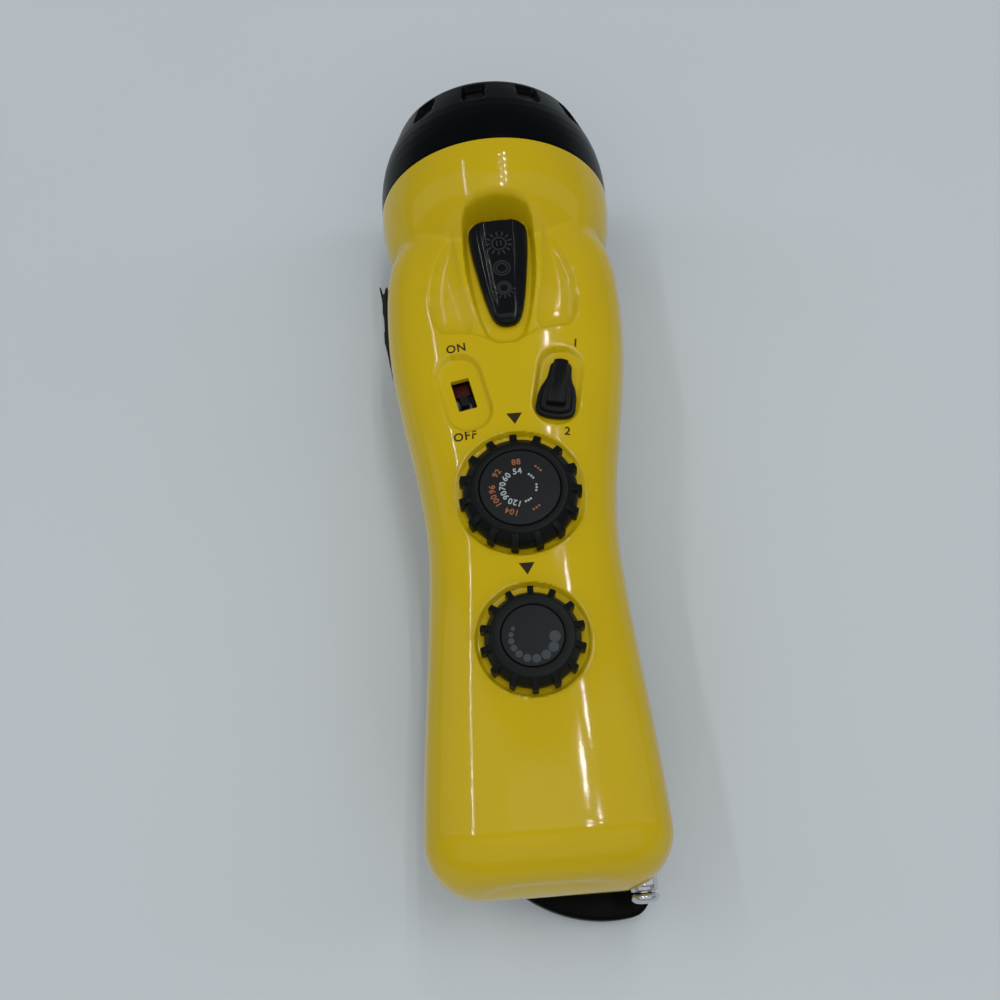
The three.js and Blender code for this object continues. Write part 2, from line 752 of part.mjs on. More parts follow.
// Lens, gasket, reflector and lamps, stacked behind the lip
const optics = {
  gasketThickness: 0.8, lensThickness: 2.2, reflectorRim: 1.5, reflectorWall: 1.2, rearPlace: 179.6,
  focusPlace: 177.5, reflectorSteps: 5, boardRadius: 11, boardThickness: 1.4,
  lampRadius: 2.5, lampFlange: 2.9, lampRing: 3.8, lampLength: 8.4, lamps: 3,
};
const opticsRadius = seatRadius - gap;
const gasketFront = lipPlace - gap;
const gasketBack = gasketFront - optics.gasketThickness;
const lensFront = gasketBack - gap;
const lensBack = lensFront - optics.lensThickness;
const mirrorFront = lensBack - gap;
const mirrorBack = mirrorFront - optics.reflectorRim;
const gasketProfile = [
  [lipRadius, gasketBack],
  [opticsRadius, gasketBack],
  [opticsRadius, gasketFront],
  [lipRadius, gasketFront],
  [lipRadius, gasketBack],
];
piece("lens_gasket", solid(turned(gasketProfile, roundSteps)), finishes.rubber, head);
piece("lens", solid(turned([
  [0, lensBack],
  [opticsRadius, lensBack],
  [opticsRadius, lensFront],
  [0, lensFront],
], roundSteps)), finishes.clear, head);

const bowlAt = (share) => {
  const place = optics.rearPlace + (mirrorBack - optics.rearPlace) * share;
  const spreadShare = Math.sqrt((place - optics.focusPlace) / (mirrorBack - optics.focusPlace));
  return [(opticsRadius - optics.reflectorRim) * spreadShare, place];
};
const bowlShares = Array.from({ length: optics.reflectorSteps + 1 }, (_, i) => (i / optics.reflectorSteps) ** 2);
const bowlInside = bowlShares.map(bowlAt);
const bowlOutside = bowlInside.map(([radius, place]) => [radius + optics.reflectorWall, place]);
const reflectorProfile = [
  ...bowlOutside,
  [opticsRadius, mirrorBack],
  [opticsRadius, mirrorFront],
  [opticsRadius - optics.reflectorRim, mirrorFront],
  ...bowlInside.reverse(),
  bowlOutside[0],
];
piece("reflector", solid(turned(reflectorProfile, roundSteps)), finishes.mirror, head);

const lampSeat = optics.rearPlace - gap;
piece("led_board", solid(turned([
  [0, lampSeat - optics.boardThickness],
  [optics.boardRadius, lampSeat - optics.boardThickness],
  [optics.boardRadius, lampSeat],
  [0, lampSeat],
])), finishes.board, head);
for (let i = 0; i < optics.lamps; i++) {
  const angle = Math.PI / 2 + (2 * Math.PI * i) / optics.lamps;
  const base = lampSeat + gap;
  const domeStart = optics.lampLength - optics.lampRadius;
  const domeShares = [0.2, 0.4, 0.6, 0.8];
  const lamp = turned(
    [
      [0, 0],
      [optics.lampFlange, 0],
      [optics.lampFlange, overrun],
      [optics.lampRadius, overrun],
      [optics.lampRadius, domeStart],
      ...domeShares.map((share) => [
        optics.lampRadius * Math.cos((share * Math.PI) / 2),
        domeStart + optics.lampRadius * Math.sin((share * Math.PI) / 2),
      ]),
      [0, optics.lampLength],
    ],
    pinSteps,
  );
  const mesh = piece("led_" + (i + 1), solid(lamp), finishes.lamp, head);
  mesh.position.set(optics.lampRing * Math.cos(angle), base, optics.lampRing * Math.sin(angle));
}

// Light slider, sloping down to its tip, with a post through the channel floor
const sliderSolid = new THREE.ExtrudeGeometry(wedge(-slider.bevel, -slider.bevel, -slider.bevel), {
  depth: slider.tipHeight - slider.bevel,
  bevelThickness: slider.bevel,
  bevelSize: slider.bevel,
  bevelSegments: 2,
  curveSegments: filletSteps,
}).translate(0, 0, sliderBottom);
const sliderPoints = sliderSolid.attributes.position;
for (let i = 0; i < sliderPoints.count; i++) {
  const share = (sliderPoints.getY(i) - slider.tipPlace) / (slider.headPlace - slider.tipPlace);
  const top = slider.tipHeight + (slider.headHeight - slider.tipHeight) * share;
  const heightShare = Math.max(sliderPoints.getZ(i) - sliderBottom, 0) / slider.tipHeight;
  sliderPoints.setZ(i, sliderBottom + top * heightShare);
}
const lightLever = { width: 2, length: 2, drop: 2.6 };
const lightLeverTop = channel.floor - lightLever.drop;
const sliderPostDrop = 4.4;
const sliderPostBottom = channel.floor - sliderPostDrop;
const sliderPost = cut(
  block(
    [-slider.postWidth / 2, slider.place - slider.postLength / 2, sliderPostBottom],
    [slider.postWidth / 2, slider.place + slider.postLength / 2, sliderBottom + gap],
  ),
  block(
    [-slider.postWidth, slider.place - lightLever.length / 2 - gap, sliderPostBottom - overrun],
    [slider.postWidth, slider.place + lightLever.length / 2 + gap, lightLeverTop + gap],
  ),
);
piece("light_slider", join(solid(sliderSolid), sliderPost), finishes.glossBlack);

// Slide switches on the switch board: a metal body and a plastic lever
const slideSwitch = { length: 8.6, width: 4.4, height: 4, slotWidth: 2.6, slotDepth: 1.2 };
const switchBase = switchBoardBottom + boardThickness + gap;
const switchTop = switchBase + slideSwitch.height;

function slideSwitchBody(name, holder, slotLength) {
  const w = slideSwitch.width / 2;
  const l = slideSwitch.length / 2;
  const shape = cut(
    block([-w, -l, switchBase], [w, l, switchTop]),
    block(
      [-slideSwitch.slotWidth / 2, -slotLength / 2, switchTop - slideSwitch.slotDepth],
      [slideSwitch.slotWidth / 2, slotLength / 2, switchTop + overrun],
    ),
  );
  piece(name, shape, finishes.steel, holder);
}

function slideSwitchLever(name, holder, width, length, offset, top, material) {
  const low = switchTop - slideSwitch.slotDepth + gap;
  const shape = block([-width / 2, offset - length / 2, low], [width / 2, offset + length / 2, top]);
  piece(name, shape, material, holder);
}

const lightSwitch = holderAt(0, slider.place, 0);
const lightSlotLength = lightLever.length + 2 * slider.travel - gap;
slideSwitchBody("light_switch_body", lightSwitch, lightSlotLength + 2 * gap);
slideSwitchLever(
  "light_switch_lever", lightSwitch, lightLever.width, lightLever.length - gap, 0, lightLeverTop,
  finishes.nylon,
);

const functionLever = { width: 2, length: 2.6, offset: -1.5 };
const functionLeverTop = recessFloor - gap;
const functionSwitch = holderAt(-recess.x, recess.place, 0, recess.lean);
slideSwitchBody("function_switch_body", functionSwitch, slideSwitch.length - 2 * gap - overrun);
slideSwitchLever(
  "function_switch_lever", functionSwitch, functionLever.width, functionLever.length,
  functionLever.offset, functionLeverTop, finishes.satinBlack,
);

// Band switch: its cap has the outline of a short bottle, with a raised rib
const bandCap = {
  bottomWidth: 9.4, neckWidth: 5.4, length: 15.8, shoulderShare: 0.4, neckShare: 0.68, offset: -1.55,
  height: 2.6, ribWidth: 3.2, ribLength: 9.6, ribHeight: 1.2, bevel: 0.7, round: 4,
};
const bandSwitch = holderAt(recess.x, recess.place, 0, -recess.lean);
slideSwitchBody("band_switch_body", bandSwitch, slideSwitch.length - 2 * gap - overrun);
slideSwitchLever(
  "band_switch_lever", bandSwitch, functionLever.width, functionLever.length, functionLever.offset,
  functionLeverTop, finishes.satinBlack,
);

function bottle(grow) {
  const bottom = bandCap.offset - bandCap.length / 2 - grow;
  const top = bandCap.offset + bandCap.length / 2 + grow;
  const wide = bandCap.bottomWidth / 2 + grow;
  const slim = bandCap.neckWidth / 2 + grow;
  const shoulder = bottom + (top - bottom) * bandCap.shoulderShare;
  const neck = bottom + (top - bottom) * bandCap.neckShare;
  const round = bandCap.round;
  const shape = new THREE.Shape();
  shape.moveTo(-wide + round, bottom);
  shape.lineTo(wide - round, bottom);
  shape.quadraticCurveTo(wide, bottom, wide, bottom + round);
  shape.lineTo(wide, shoulder);
  shape.lineTo(slim, neck);
  shape.lineTo(slim, top - slim);
  shape.absarc(0, top - slim, slim, 0, Math.PI);
  shape.lineTo(-slim, neck);
  shape.lineTo(-wide, shoulder);
  shape.lineTo(-wide, bottom + round);
  shape.quadraticCurveTo(-wide, bottom, -wide + round, bottom);
  return shape;
}

const capBottom = recessFloor + gap;
const capBase = solid(
  new THREE.ExtrudeGeometry(bottle(-bandCap.bevel), {
    depth: bandCap.height - 2 * bandCap.bevel,
    bevelThickness: bandCap.bevel,
    bevelSize: bandCap.bevel,
    bevelSegments: 1,
    curveSegments: filletSteps,
  }).translate(0, 0, capBottom + bandCap.bevel),
);
const capRib = solid(
  raised(
    roundedRectangle(bandCap.ribWidth, bandCap.ribLength, bandCap.bevel, 0, bandCap.offset),
    capBottom + bandCap.height - bandCap.bevel,
    capBottom + bandCap.height + bandCap.ribHeight,
    2,
  ),
);
const leverPocket = block(
  [-functionLever.width / 2 - gap, functionLever.offset - functionLever.length / 2 - gap, switchTop],
  [
    functionLever.width / 2 + gap,
    functionLever.offset + functionLever.length / 2 + gap,
    functionLeverTop + gap,
  ],
);
const capStem = block(
  [
    -capSlot.width / 2 + gap / 2,
    functionLever.offset - capSlot.length / 4,
    recessFloor - recess.floorThickness,
  ],
  [
    capSlot.width / 2 - gap / 2,
    functionLever.offset + capSlot.length / 4,
    capBottom + gap,
  ],
);
piece("band_switch_cap", cut(join(capBase, capRib, capStem), leverPocket), finishes.satinBlack, bandSwitch);

// Dials: a ribbed knob with a label disc, on a shaft
function ribbedOutline(one, inset) {
  const points = [];
  const pitch = (2 * Math.PI) / one.ribs;
  for (let i = 0; i < one.ribs; i++) {
    const middle = one.firstRib + i * pitch;
    const atBody = (dial.ribWidth / 2 + dial.chamfer / 4) / one.radius;
    const atTop = dial.ribWidth / 2 / one.ribRadius;
    const body = one.radius - inset;
    const rib = one.ribRadius - inset;
    points.push([body, middle - atBody], [rib, middle - atTop], [rib, middle + atTop], [body, middle + atBody]);
  }
  return polygon(points.map(([r, angle]) => [r * Math.cos(angle), r * Math.sin(angle)]));
}

function buildDial(name, one, shaftBottom) {
  const holder = holderAt(0, one.place, 0);
  const bottom = dialFloor + gap;
  const knob = new THREE.ExtrudeGeometry(ribbedOutline(one, dial.chamfer), {
    depth: dialTop - bottom - 2 * dial.chamfer,
    bevelThickness: dial.chamfer,
    bevelSize: dial.chamfer,
    bevelSegments: 1,
  }).translate(0, 0, bottom + dial.chamfer);
  const shaftTop = dialTop - dial.shaftCover;
  const shape = cut(
    solid(knob),
    post(0, 0, one.labelRadius + gap, dialTop - dial.labelDepth, highest, roundSteps),
    post(0, 0, dial.shaftRadius + gap, bottom - overrun, shaftTop + gap),
  );
  piece(name + "_dial", shape, finishes.charcoal, holder);
  const labelBottom = dialTop - dial.labelDepth + dial.labelThickness / 2;
  piece(
    name + "_label",
    post(0, 0, one.labelRadius, labelBottom, labelBottom + dial.labelThickness, roundSteps),
    finishes.label,
    holder,
  );
  piece(
    name + "_shaft", post(0, 0, dial.shaftRadius, shaftBottom, shaftTop), finishes.nylon, holder,
  );
}

const boardTop = mainBoardBottom + boardThickness;
const capacitor = { half: 10, height: 9 };
const potentiometer = { half: 7.4, height: 6.5 };
const capacitorTop = boardTop + gap + capacitor.height;
const potentiometerTop = boardTop + gap + potentiometer.height;
buildDial("tuning", tuning, capacitorTop + gap);
buildDial("volume", volume, potentiometerTop + gap);
piece(
  "tuning_capacitor",
  block(
    [-capacitor.half, tuning.place - capacitor.half, boardTop + gap],
    [capacitor.half, tuning.place + capacitor.half, capacitorTop],
  ),
  finishes.nylon,
);
piece(
  "volume_potentiometer",
  block(
    [-potentiometer.half, volume.place - potentiometer.half, boardTop + gap],
    [potentiometer.half, volume.place + potentiometer.half, potentiometerTop],
  ),
  finishes.steel,
);

// Boards
const mainOutline = polygon([
  [-mainBoard.halfWidth, mainBoard.start],
  [mainBoard.notchX, mainBoard.start],
  [mainBoard.notchX, mainBoard.notchEnd],
  [mainBoard.halfWidth, mainBoard.notchEnd],
  [mainBoard.halfWidth, mainBoard.end],
  [-mainBoard.halfWidth, mainBoard.end],
]);
piece("main_board", solid(raised(mainOutline, mainBoardBottom, boardTop)), finishes.board);
piece(
  "switch_board",
  block(
    [-switchBoardHalfWidth, switchBoard.start, switchBoardBottom],
    [switchBoardHalfWidth, switchBoard.end, switchBoardBottom + boardThickness],
  ),
  finishes.board,
);

// Gear train: straight sided teeth with generous play
function gearOutline(teeth, phase) {
  const pitchRadius = teeth * radiusPerTooth;
  const tip = pitchRadius + 2 * gears.addendumShare * radiusPerTooth;
  const root = pitchRadius - 2 * gears.dedendumShare * radiusPerTooth;
  const quarter = Math.PI / (2 * teeth);
  const points = [];
  for (let i = 0; i < teeth; i++) {
    const middle = phase + (2 * Math.PI * i) / teeth;
    for (const [radius, share] of [
      [root, -gears.rootShare], [tip, -gears.tipShare], [tip, gears.tipShare],
      [root, gears.rootShare],
    ]) {
      const angle = middle + share * quarter;
      points.push([radius * Math.cos(angle), radius * Math.sin(angle)]);
    }
  }
  return polygon(points);
}

const gear = (teeth, phase, bottom, top) => solid(raised(gearOutline(teeth, phase), bottom, top));
const towardHead = Math.PI / 2;
const driveHolder = holderAt(0, crankPlace, 0);
piece(
  "drive_gear",
  cut(
    gear(driveTeeth, towardHead, gearLevels.driveBottom, gearLevels.driveTop),
    post(0, 0, shaft.radius + gap, gearLevels.driveBottom - overrun, gearLevels.driveTop + overrun),
  ),
  finishes.nylon,
  driveHolder,
);
const reductionHolder = holderAt(0, reductionPlace, 0);
const pinionGap = towardHead + Math.PI - Math.PI / pinionTeeth;
piece(
  "reduction_gear",
  cut(
    join(
      gear(pinionTeeth, pinionGap, gearLevels.driveBottom, gearLevels.wheelBottom + gap),
      gear(wheelTeeth, towardHead, gearLevels.wheelBottom, gearLevels.wheelTop),
    ),
    post(0, 0, axle.radius + gap, lowest, highest, pinSteps),
  ),
  finishes.nylon,
  reductionHolder,
);
piece("gear_axle", post(0, 0, axle.radius, axle.bottom, axle.top, pinSteps), finishes.steel, reductionHolder);

const generator = holderAt(0, rotorPlace, 0);
const rotorGap = towardHead + Math.PI - Math.PI / rotorTeeth;
piece(
  "generator_rotor",
  join(
    post(0, 0, rotor.radius, rotor.bottom, rotor.top),
    post(0, 0, rotor.shaftRadius, rotor.shaftBottom, axle.top, pinSteps),
    gear(rotorTeeth, rotorGap, gearLevels.wheelBottom, gearLevels.wheelTop),
  ),
  finishes.magnet,
  generator,
);
piece(
  "generator_stator",
  cut(
    post(0, 0, stator.radius, stator.bottom, stator.top, roundSteps),
    post(0, 0, stator.bore, stator.bottom - overrun, stator.top + overrun, roundSteps),
  ),
  finishes.copper,
  generator,
);
const plateEdge = gearPlate.postX + gearPlate.margin;
const plateTail = gearPlate.tailPostPlace - gearPlate.margin;
const plateOutline = polygon([
  [-(gearPlate.tailPostX + gearPlate.margin), plateTail],
  [-(gearPlate.tailPostX - gearPlate.margin), plateTail],
  [gearPlate.hubReach, crankPlace - gearPlate.hubReach],
  [gearPlate.waistX, crankPlace],
  [gearPlate.waistX, reductionPlace],
  [plateEdge, gearPlate.postPlace - gearPlate.margin],
  [plateEdge, gearPlate.postPlace + gearPlate.margin],
  [gearPlate.noseX, rotorPlace + gearPlate.noseReach],
  [-gearPlate.noseX, rotorPlace + gearPlate.noseReach],
  [-plateEdge, gearPlate.postPlace + gearPlate.margin],
  [-plateEdge, gearPlate.postPlace - gearPlate.margin],
  [-(gearPlate.tailPostX + gearPlate.margin), reductionPlace],
]);
const plateTop = gearPlate.bottom + gearPlate.thickness;
piece(
  "gearbox_plate",
  cut(
    solid(raised(plateOutline, gearPlate.bottom, plateTop)),
    post(0, crankPlace, shaft.radius + gap, lowest, highest),
    post(0, reductionPlace, axle.radius + gap, lowest, highest, pinSteps),
    post(0, rotorPlace, rotor.shaftRadius + gap, lowest, highest, pinSteps),
  ),
  finishes.greyPlastic,
);

// Crank arm with a window for its fold-out knob
const knob = {
  x: 6, window: 10.6, hinge: 38, start: 42.6, end: 5.6, gripRadius: 3.7, gripLength: 25,
  stemRadius: 1.5, eyeRadius: 3.4, eyeWidth: 6.6, pinRadius: 1.2, pinLength: 15.6, capRadius: 2.9,
  capLength: 1.4, height: 4,
};
const crankHub = holderAt(0, crankPlace, 0);
const armEndX = crank.endX;
const armEnd = crank.endPlace - crankPlace;
const arcAngle = (x) => -Math.acos((x - armEndX) / crank.endRadius);
const armOutline = new THREE.Shape();
armOutline.moveTo(crank.hubRadius, 0);
armOutline.absarc(0, 0, crank.hubRadius, 0, Math.PI);
armOutline.quadraticCurveTo(-crank.hubRadius, armEnd * halfShare, crank.leftX, crank.leftPlace + crank.corner - crankPlace);
const leftAngle = arcAngle(crank.leftX + crank.corner);
const rightAngle = arcAngle(crank.rightX - crank.corner * halfShare);
const onArc = (angle) => [
  armEndX + crank.endRadius * Math.cos(angle), armEnd + crank.endRadius * Math.sin(angle),
];
armOutline.quadraticCurveTo(crank.leftX, onArc(leftAngle)[1] + crank.corner * halfShare, ...onArc(leftAngle));
armOutline.absarc(armEndX, armEnd, crank.endRadius, leftAngle, rightAngle);
const rightCorner = onArc(rightAngle)[1];
armOutline.quadraticCurveTo(crank.rightX, rightCorner, crank.rightX, rightCorner + crank.corner);
armOutline.lineTo(crank.rightX, crank.rightPlace - crankPlace);
armOutline.quadraticCurveTo(crank.rightX, armEnd * halfShare, crank.hubRadius, 0);
const windowMiddle = (knob.start + knob.end) * halfShare - crankPlace;
const armSolid = join(
  solid(
    new THREE.ExtrudeGeometry(armOutline, {
      depth: crank.thickness - crank.round,
      bevelThickness: crank.round,
      bevelSize: crank.round,
      bevelOffset: -crank.round,
      bevelSegments: 1,
      curveSegments: 2 * filletSteps,
    }),
  ).intersect(block([-wideReach, -wideReach, 0], [wideReach, wideReach, crank.thickness])),
  post(0, 0, bushing.flangeRadius, crank.round, crank.thickness + crank.hubRise),
);
const hubScrew = { headRadius: 4, headHeight: 1.2, seat: 2, shankRadius: 1.1, depth: 7 };
piece(
  "crank_arm",
  cut(
    armSolid,
    solid(
      raised(
        roundedRectangle(knob.window, knob.start - knob.end, knob.stemRadius, knob.x, windowMiddle),
        lowest,
        highest,
        2,
      ),
    ),
    post(0, 0, shaft.radius + gap, shaft.bottom - gap, highest),
    post(0, 0, hubScrew.shankRadius + gap, lowest, shaft.bottom, pinSteps),
    post(0, 0, hubScrew.headRadius + gap, lowest, hubScrew.seat - gap),
    barAcross(
      knob.hinge - crankPlace, knob.height, knob.pinRadius + gap,
      knob.x - knob.pinLength / 2 - gap, knob.x + knob.pinLength / 2 + gap, pinSteps,
    ),
  ),
  finishes.satinBlack,
  crankHub,
);
piece(
  "crank_shaft",
  cut(
    post(0, 0, shaft.radius, shaft.bottom, shaft.top),
    post(0, 0, hubScrew.shankRadius + gap, lowest, shaft.bottom + hubScrew.depth + gap, pinSteps),
  ),
  finishes.steel,
  crankHub,
);
const hubScrewHeadTop = hubScrew.seat - 2 * gap;
piece("crank_screw", solid(turnedUp([
  [0, hubScrewHeadTop - hubScrew.headHeight],
  [hubScrew.headRadius, hubScrewHeadTop - hubScrew.headHeight],
  [hubScrew.headRadius, hubScrewHeadTop],
  [hubScrew.shankRadius, hubScrewHeadTop],
  [hubScrew.shankRadius, shaft.bottom + hubScrew.depth],
  [0, shaft.bottom + hubScrew.depth],
], pinSteps)), finishes.steel, crankHub);
piece("crank_bushing", solid(turnedUp([
  [shaft.radius + gap, bushingBottom],
  [bushing.flangeRadius, bushingBottom],
  [bushing.flangeRadius, bushingBottom + bushing.flangeHeight],
  [bushing.radius, bushingBottom + bushing.flangeHeight],
  [bushing.radius, bushing.top],
  [shaft.radius + gap, bushing.top],
  [shaft.radius + gap, bushingBottom],
])), finishes.brass, crankHub);

const knobHolder = holderAt(knob.x, knob.hinge, knob.height);
const stemEnd = -(knob.hinge - knob.end) + knob.pinRadius;
const gripStart = -knob.eyeRadius - gap;
const stemShape = cut(
  join(
    barAcross(0, 0, knob.eyeRadius, -knob.eyeWidth / 2, knob.eyeWidth / 2),
    barAlong(0, 0, knob.stemRadius, stemEnd, 0, pinSteps),
    barAlong(0, 0, knob.capRadius, stemEnd, stemEnd + knob.capLength, pinSteps),
  ),
  barAcross(0, 0, knob.pinRadius + gap, -knob.eyeWidth, knob.eyeWidth, pinSteps),
);
piece("knob_stem", stemShape, finishes.steel, knobHolder);
piece("knob_pin", barAcross(0, 0, knob.pinRadius, -knob.pinLength / 2, knob.pinLength / 2, pinSteps), finishes.steel, knobHolder);
const gripEnd = stemEnd + knob.capLength + gap;
piece(
  "knob_grip",
  cut(
    barAlong(0, 0, knob.gripRadius, gripEnd, gripStart),
    barAlong(0, 0, knob.stemRadius + gap, gripEnd - overrun, gripStart + overrun, pinSteps),
  ),
  finishes.satinBlack,
  knobHolder,
);

// Antenna: a fixed tube with a chrome collar, two sliding tubes, a rod and its tip
piece("antenna_tube", leanedAntenna(turned([
  [antenna.bore, antenna.mouth],
  [antenna.collarRadius, antenna.mouth],
  [antenna.collarRadius, antenna.collarLength],
  [antenna.tubeRadius, antenna.collarLength],
  [antenna.tubeRadius, antenna.length],
  [0, antenna.length],
  [0, antenna.length - overrun],
  [antenna.bore, antenna.length - overrun],
  [antenna.bore, antenna.mouth],
])), finishes.chrome);
antennaSections.forEach((section, i) => {
  const profile = [
    [section.bore, antenna.mouth],
    [section.radius, antenna.mouth],
    [section.radius, sectionEnd(i)],
    [section.bore, sectionEnd(i)],
    [section.bore, antenna.mouth],
  ];
  piece("antenna_section_" + (i + 1), leanedAntenna(turned(profile, pinSteps)), finishes.chrome);
});
const tipInner = antenna.mouth - antenna.tipGroove;
piece("antenna_section_3", leanedAntenna(turned([
  [0, tipInner - overrun],
  [antennaRodRadius, tipInner - overrun],
  [antennaRodRadius, sectionEnd(antennaSections.length)],
  [0, sectionEnd(antennaSections.length)],
], pinSteps)), finishes.chrome);
const tipShares = [[0, 1], [0.62, 0.93], [0.9, 0.72], [1, 0.45], [0.94, 0.16], [0.8, 0]];
piece("antenna_tip", cut(
  leanedAntenna(turned([
    ...tipShares.map(([radiusShare, placeShare]) => [
      antenna.tipRadius * radiusShare, tipInner - antenna.tipLength * placeShare,
    ]),
    [0, tipInner],
  ])),
  leanedAntenna(turned([
    [0, tipInner - overrun - gap],
    [antennaRodRadius + gap, tipInner - overrun - gap],
    [antennaRodRadius + gap, antenna.mouth],
    [0, antenna.mouth],
  ], pinSteps)),
), finishes.chrome);

// Port cover: a soft flap with two plugs and a forked pull tab, held by an anchor
const coverStart = cover.hinge + cover.hingeGap * halfShare;
const [coverThin, coverThick] = [coverInner + cover.thin, coverInner + cover.thick];
const prongInner = coverInner + cover.prongLift;
const prongOuter = prongInner + cover.prongThickness;
const tabOuter = coverInner + cover.tabSpread;
const coverOutline = polygon([
  [-coverInner, coverStart],
  [-coverInner, cover.tab - cover.margin],
  [-prongInner, cover.tab],
  [-prongInner, cover.prong],
  [-prongOuter, cover.prong],
  [-prongOuter, cover.notch],
  [-tabOuter + cover.tabThickness, cover.end],
  [-tabOuter, cover.end],
  [-coverThick, cover.tab],
  [-coverThick, cover.step],
  [-coverThin, cover.step - cover.margin],
  [-coverThin, coverStart],
]);
const plugs = [powerJack, phoneJack].map((jack) =>
  barAcross(jack.place, partingHeight, jack.plug, -coverInner - gap, -coverInner + plugLength, pinSteps),
);
piece(
  "port_cover",
  join(solid(raised(coverOutline, coverLow, coverHigh)), ...plugs),
  finishes.rubber,
);
piece(
  "port_anchor",
  join(
    block(
      [-coverThin, cover.anchorStart, coverLow],
      [-coverInner, cover.hinge - cover.hingeGap * halfShare, coverHigh],
    ),
    barAcross(
      cover.studPlace, partingHeight, cover.studRadius, -coverInner - gap,
      -coverInner + cover.studLength, pinSteps,
    ),
  ),
  finishes.rubber,
);
for (const [name, jack] of [["power_jack", powerJack], ["phone_jack", phoneJack]]) {
  const bored = cut(
    block(
      [-jackFace, jack.place - jack.half, partingHeight - jack.half],
      [-jackFace + jack.length, jack.place + jack.half, partingHeight + jack.half],
    ),
    barAcross(jack.place, partingHeight, jack.hole, -jackFace - overrun, -jackFace + jack.depth),
  );
  const withPin = jack.pin > 0
    ? join(bored, barAcross(jack.place, partingHeight, jack.pin, -jackFace + overrun, -jackFace + jack.length - overrun, pinSteps))
    : bored;
  piece(name, withPin, finishes.glossBlack);
}

// Speaker, ferrite rod with its coil, and battery pack
const speakerHolder = holderAt(0, speaker.place, 0);
piece("speaker_frame", solid(turnedUp([
  [0, speaker.bottom + speaker.rim],
  [speaker.radius - speaker.seatWidth, speaker.bottom],
  [speaker.radius, speaker.bottom],
  [speaker.radius, speaker.bottom + speaker.rim],
  [speaker.magnetRadius, speaker.coneTop],
  [0, speaker.coneTop],
], roundSteps)), finishes.satinBlack, speakerHolder);
piece(
  "speaker_magnet", post(0, 0, speaker.magnetRadius, speaker.coneTop + gap, speaker.magnetTop),
  finishes.magnet, speakerHolder,
);
piece(
  "ferrite_rod",
  barAcross(ferrite.place, ferriteHeight, ferrite.radius, -ferrite.halfLength, ferrite.halfLength),
  finishes.magnet,
);
piece(
  "ferrite_coil",
  cut(
    barAcross(
      ferrite.place, ferriteHeight, ferrite.coilRadius, -ferrite.coilHalfLength,
      ferrite.coilHalfLength,
    ),
    barAcross(
      ferrite.place, ferriteHeight, ferrite.radius + gap, -ferrite.halfLength, ferrite.halfLength,
    ),
  ),
  finishes.copper,
);
const battery = { radius: 5.1, cells: 3, x: -1, height: 19.6, start: 14, end: 42.6, wrap: 3 };
const cellPitch = 2 * battery.radius;
const cells = Array.from({ length: battery.cells }, (_, i) =>
  barAlong(
    battery.x + (i - (battery.cells - 1) / 2) * cellPitch, battery.height, battery.radius,
    battery.start, battery.end,
  ),
);
const wrapHalf = cellPitch * ((battery.cells - 1) / 2);
const wrapping = block(
  [battery.x - wrapHalf, battery.start, battery.height - battery.wrap],
  [battery.x + wrapHalf, battery.end, battery.height + battery.wrap],
);
piece("battery_pack", join(...cells, wrapping), finishes.wrap);

// The origin is on the ground, under the middle of the whole length
const bounds = new THREE.Box3().setFromObject(flashlight);
flashlight.position.y = -(bounds.min.y + bounds.max.y) * halfShare;

export default flashlight;
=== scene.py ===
from math import acos, atan2, cos, pi, radians, sin, sqrt

import bmesh
import bpy
import numpy as np
from mathutils import Matrix, Vector
from mathutils.bvhtree import BVHTree


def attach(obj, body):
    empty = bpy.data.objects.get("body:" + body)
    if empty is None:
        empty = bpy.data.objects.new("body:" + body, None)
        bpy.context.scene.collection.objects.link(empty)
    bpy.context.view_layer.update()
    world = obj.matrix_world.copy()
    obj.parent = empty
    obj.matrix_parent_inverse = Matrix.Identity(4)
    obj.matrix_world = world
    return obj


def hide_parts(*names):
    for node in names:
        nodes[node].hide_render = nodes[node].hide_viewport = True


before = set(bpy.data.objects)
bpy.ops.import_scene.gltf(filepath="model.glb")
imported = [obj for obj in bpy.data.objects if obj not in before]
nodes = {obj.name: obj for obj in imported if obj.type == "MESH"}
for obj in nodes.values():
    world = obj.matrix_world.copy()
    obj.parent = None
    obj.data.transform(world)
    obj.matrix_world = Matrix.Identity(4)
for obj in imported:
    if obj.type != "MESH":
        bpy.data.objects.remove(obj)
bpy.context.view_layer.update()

scene = bpy.context.scene
MM = 0.001
TAIL = -98.3
UP, DOWN, LEFT = Vector((0, 0, 1)), Vector((0, 0, -1)), Vector((-1, 0, 0))


def row(x, y, z):
    """Millimetres, with y counted from the tail end, to the row frame in metres."""
    return Vector((x * MM, (y + TAIL) * MM, z * MM))


# Camera and lamps

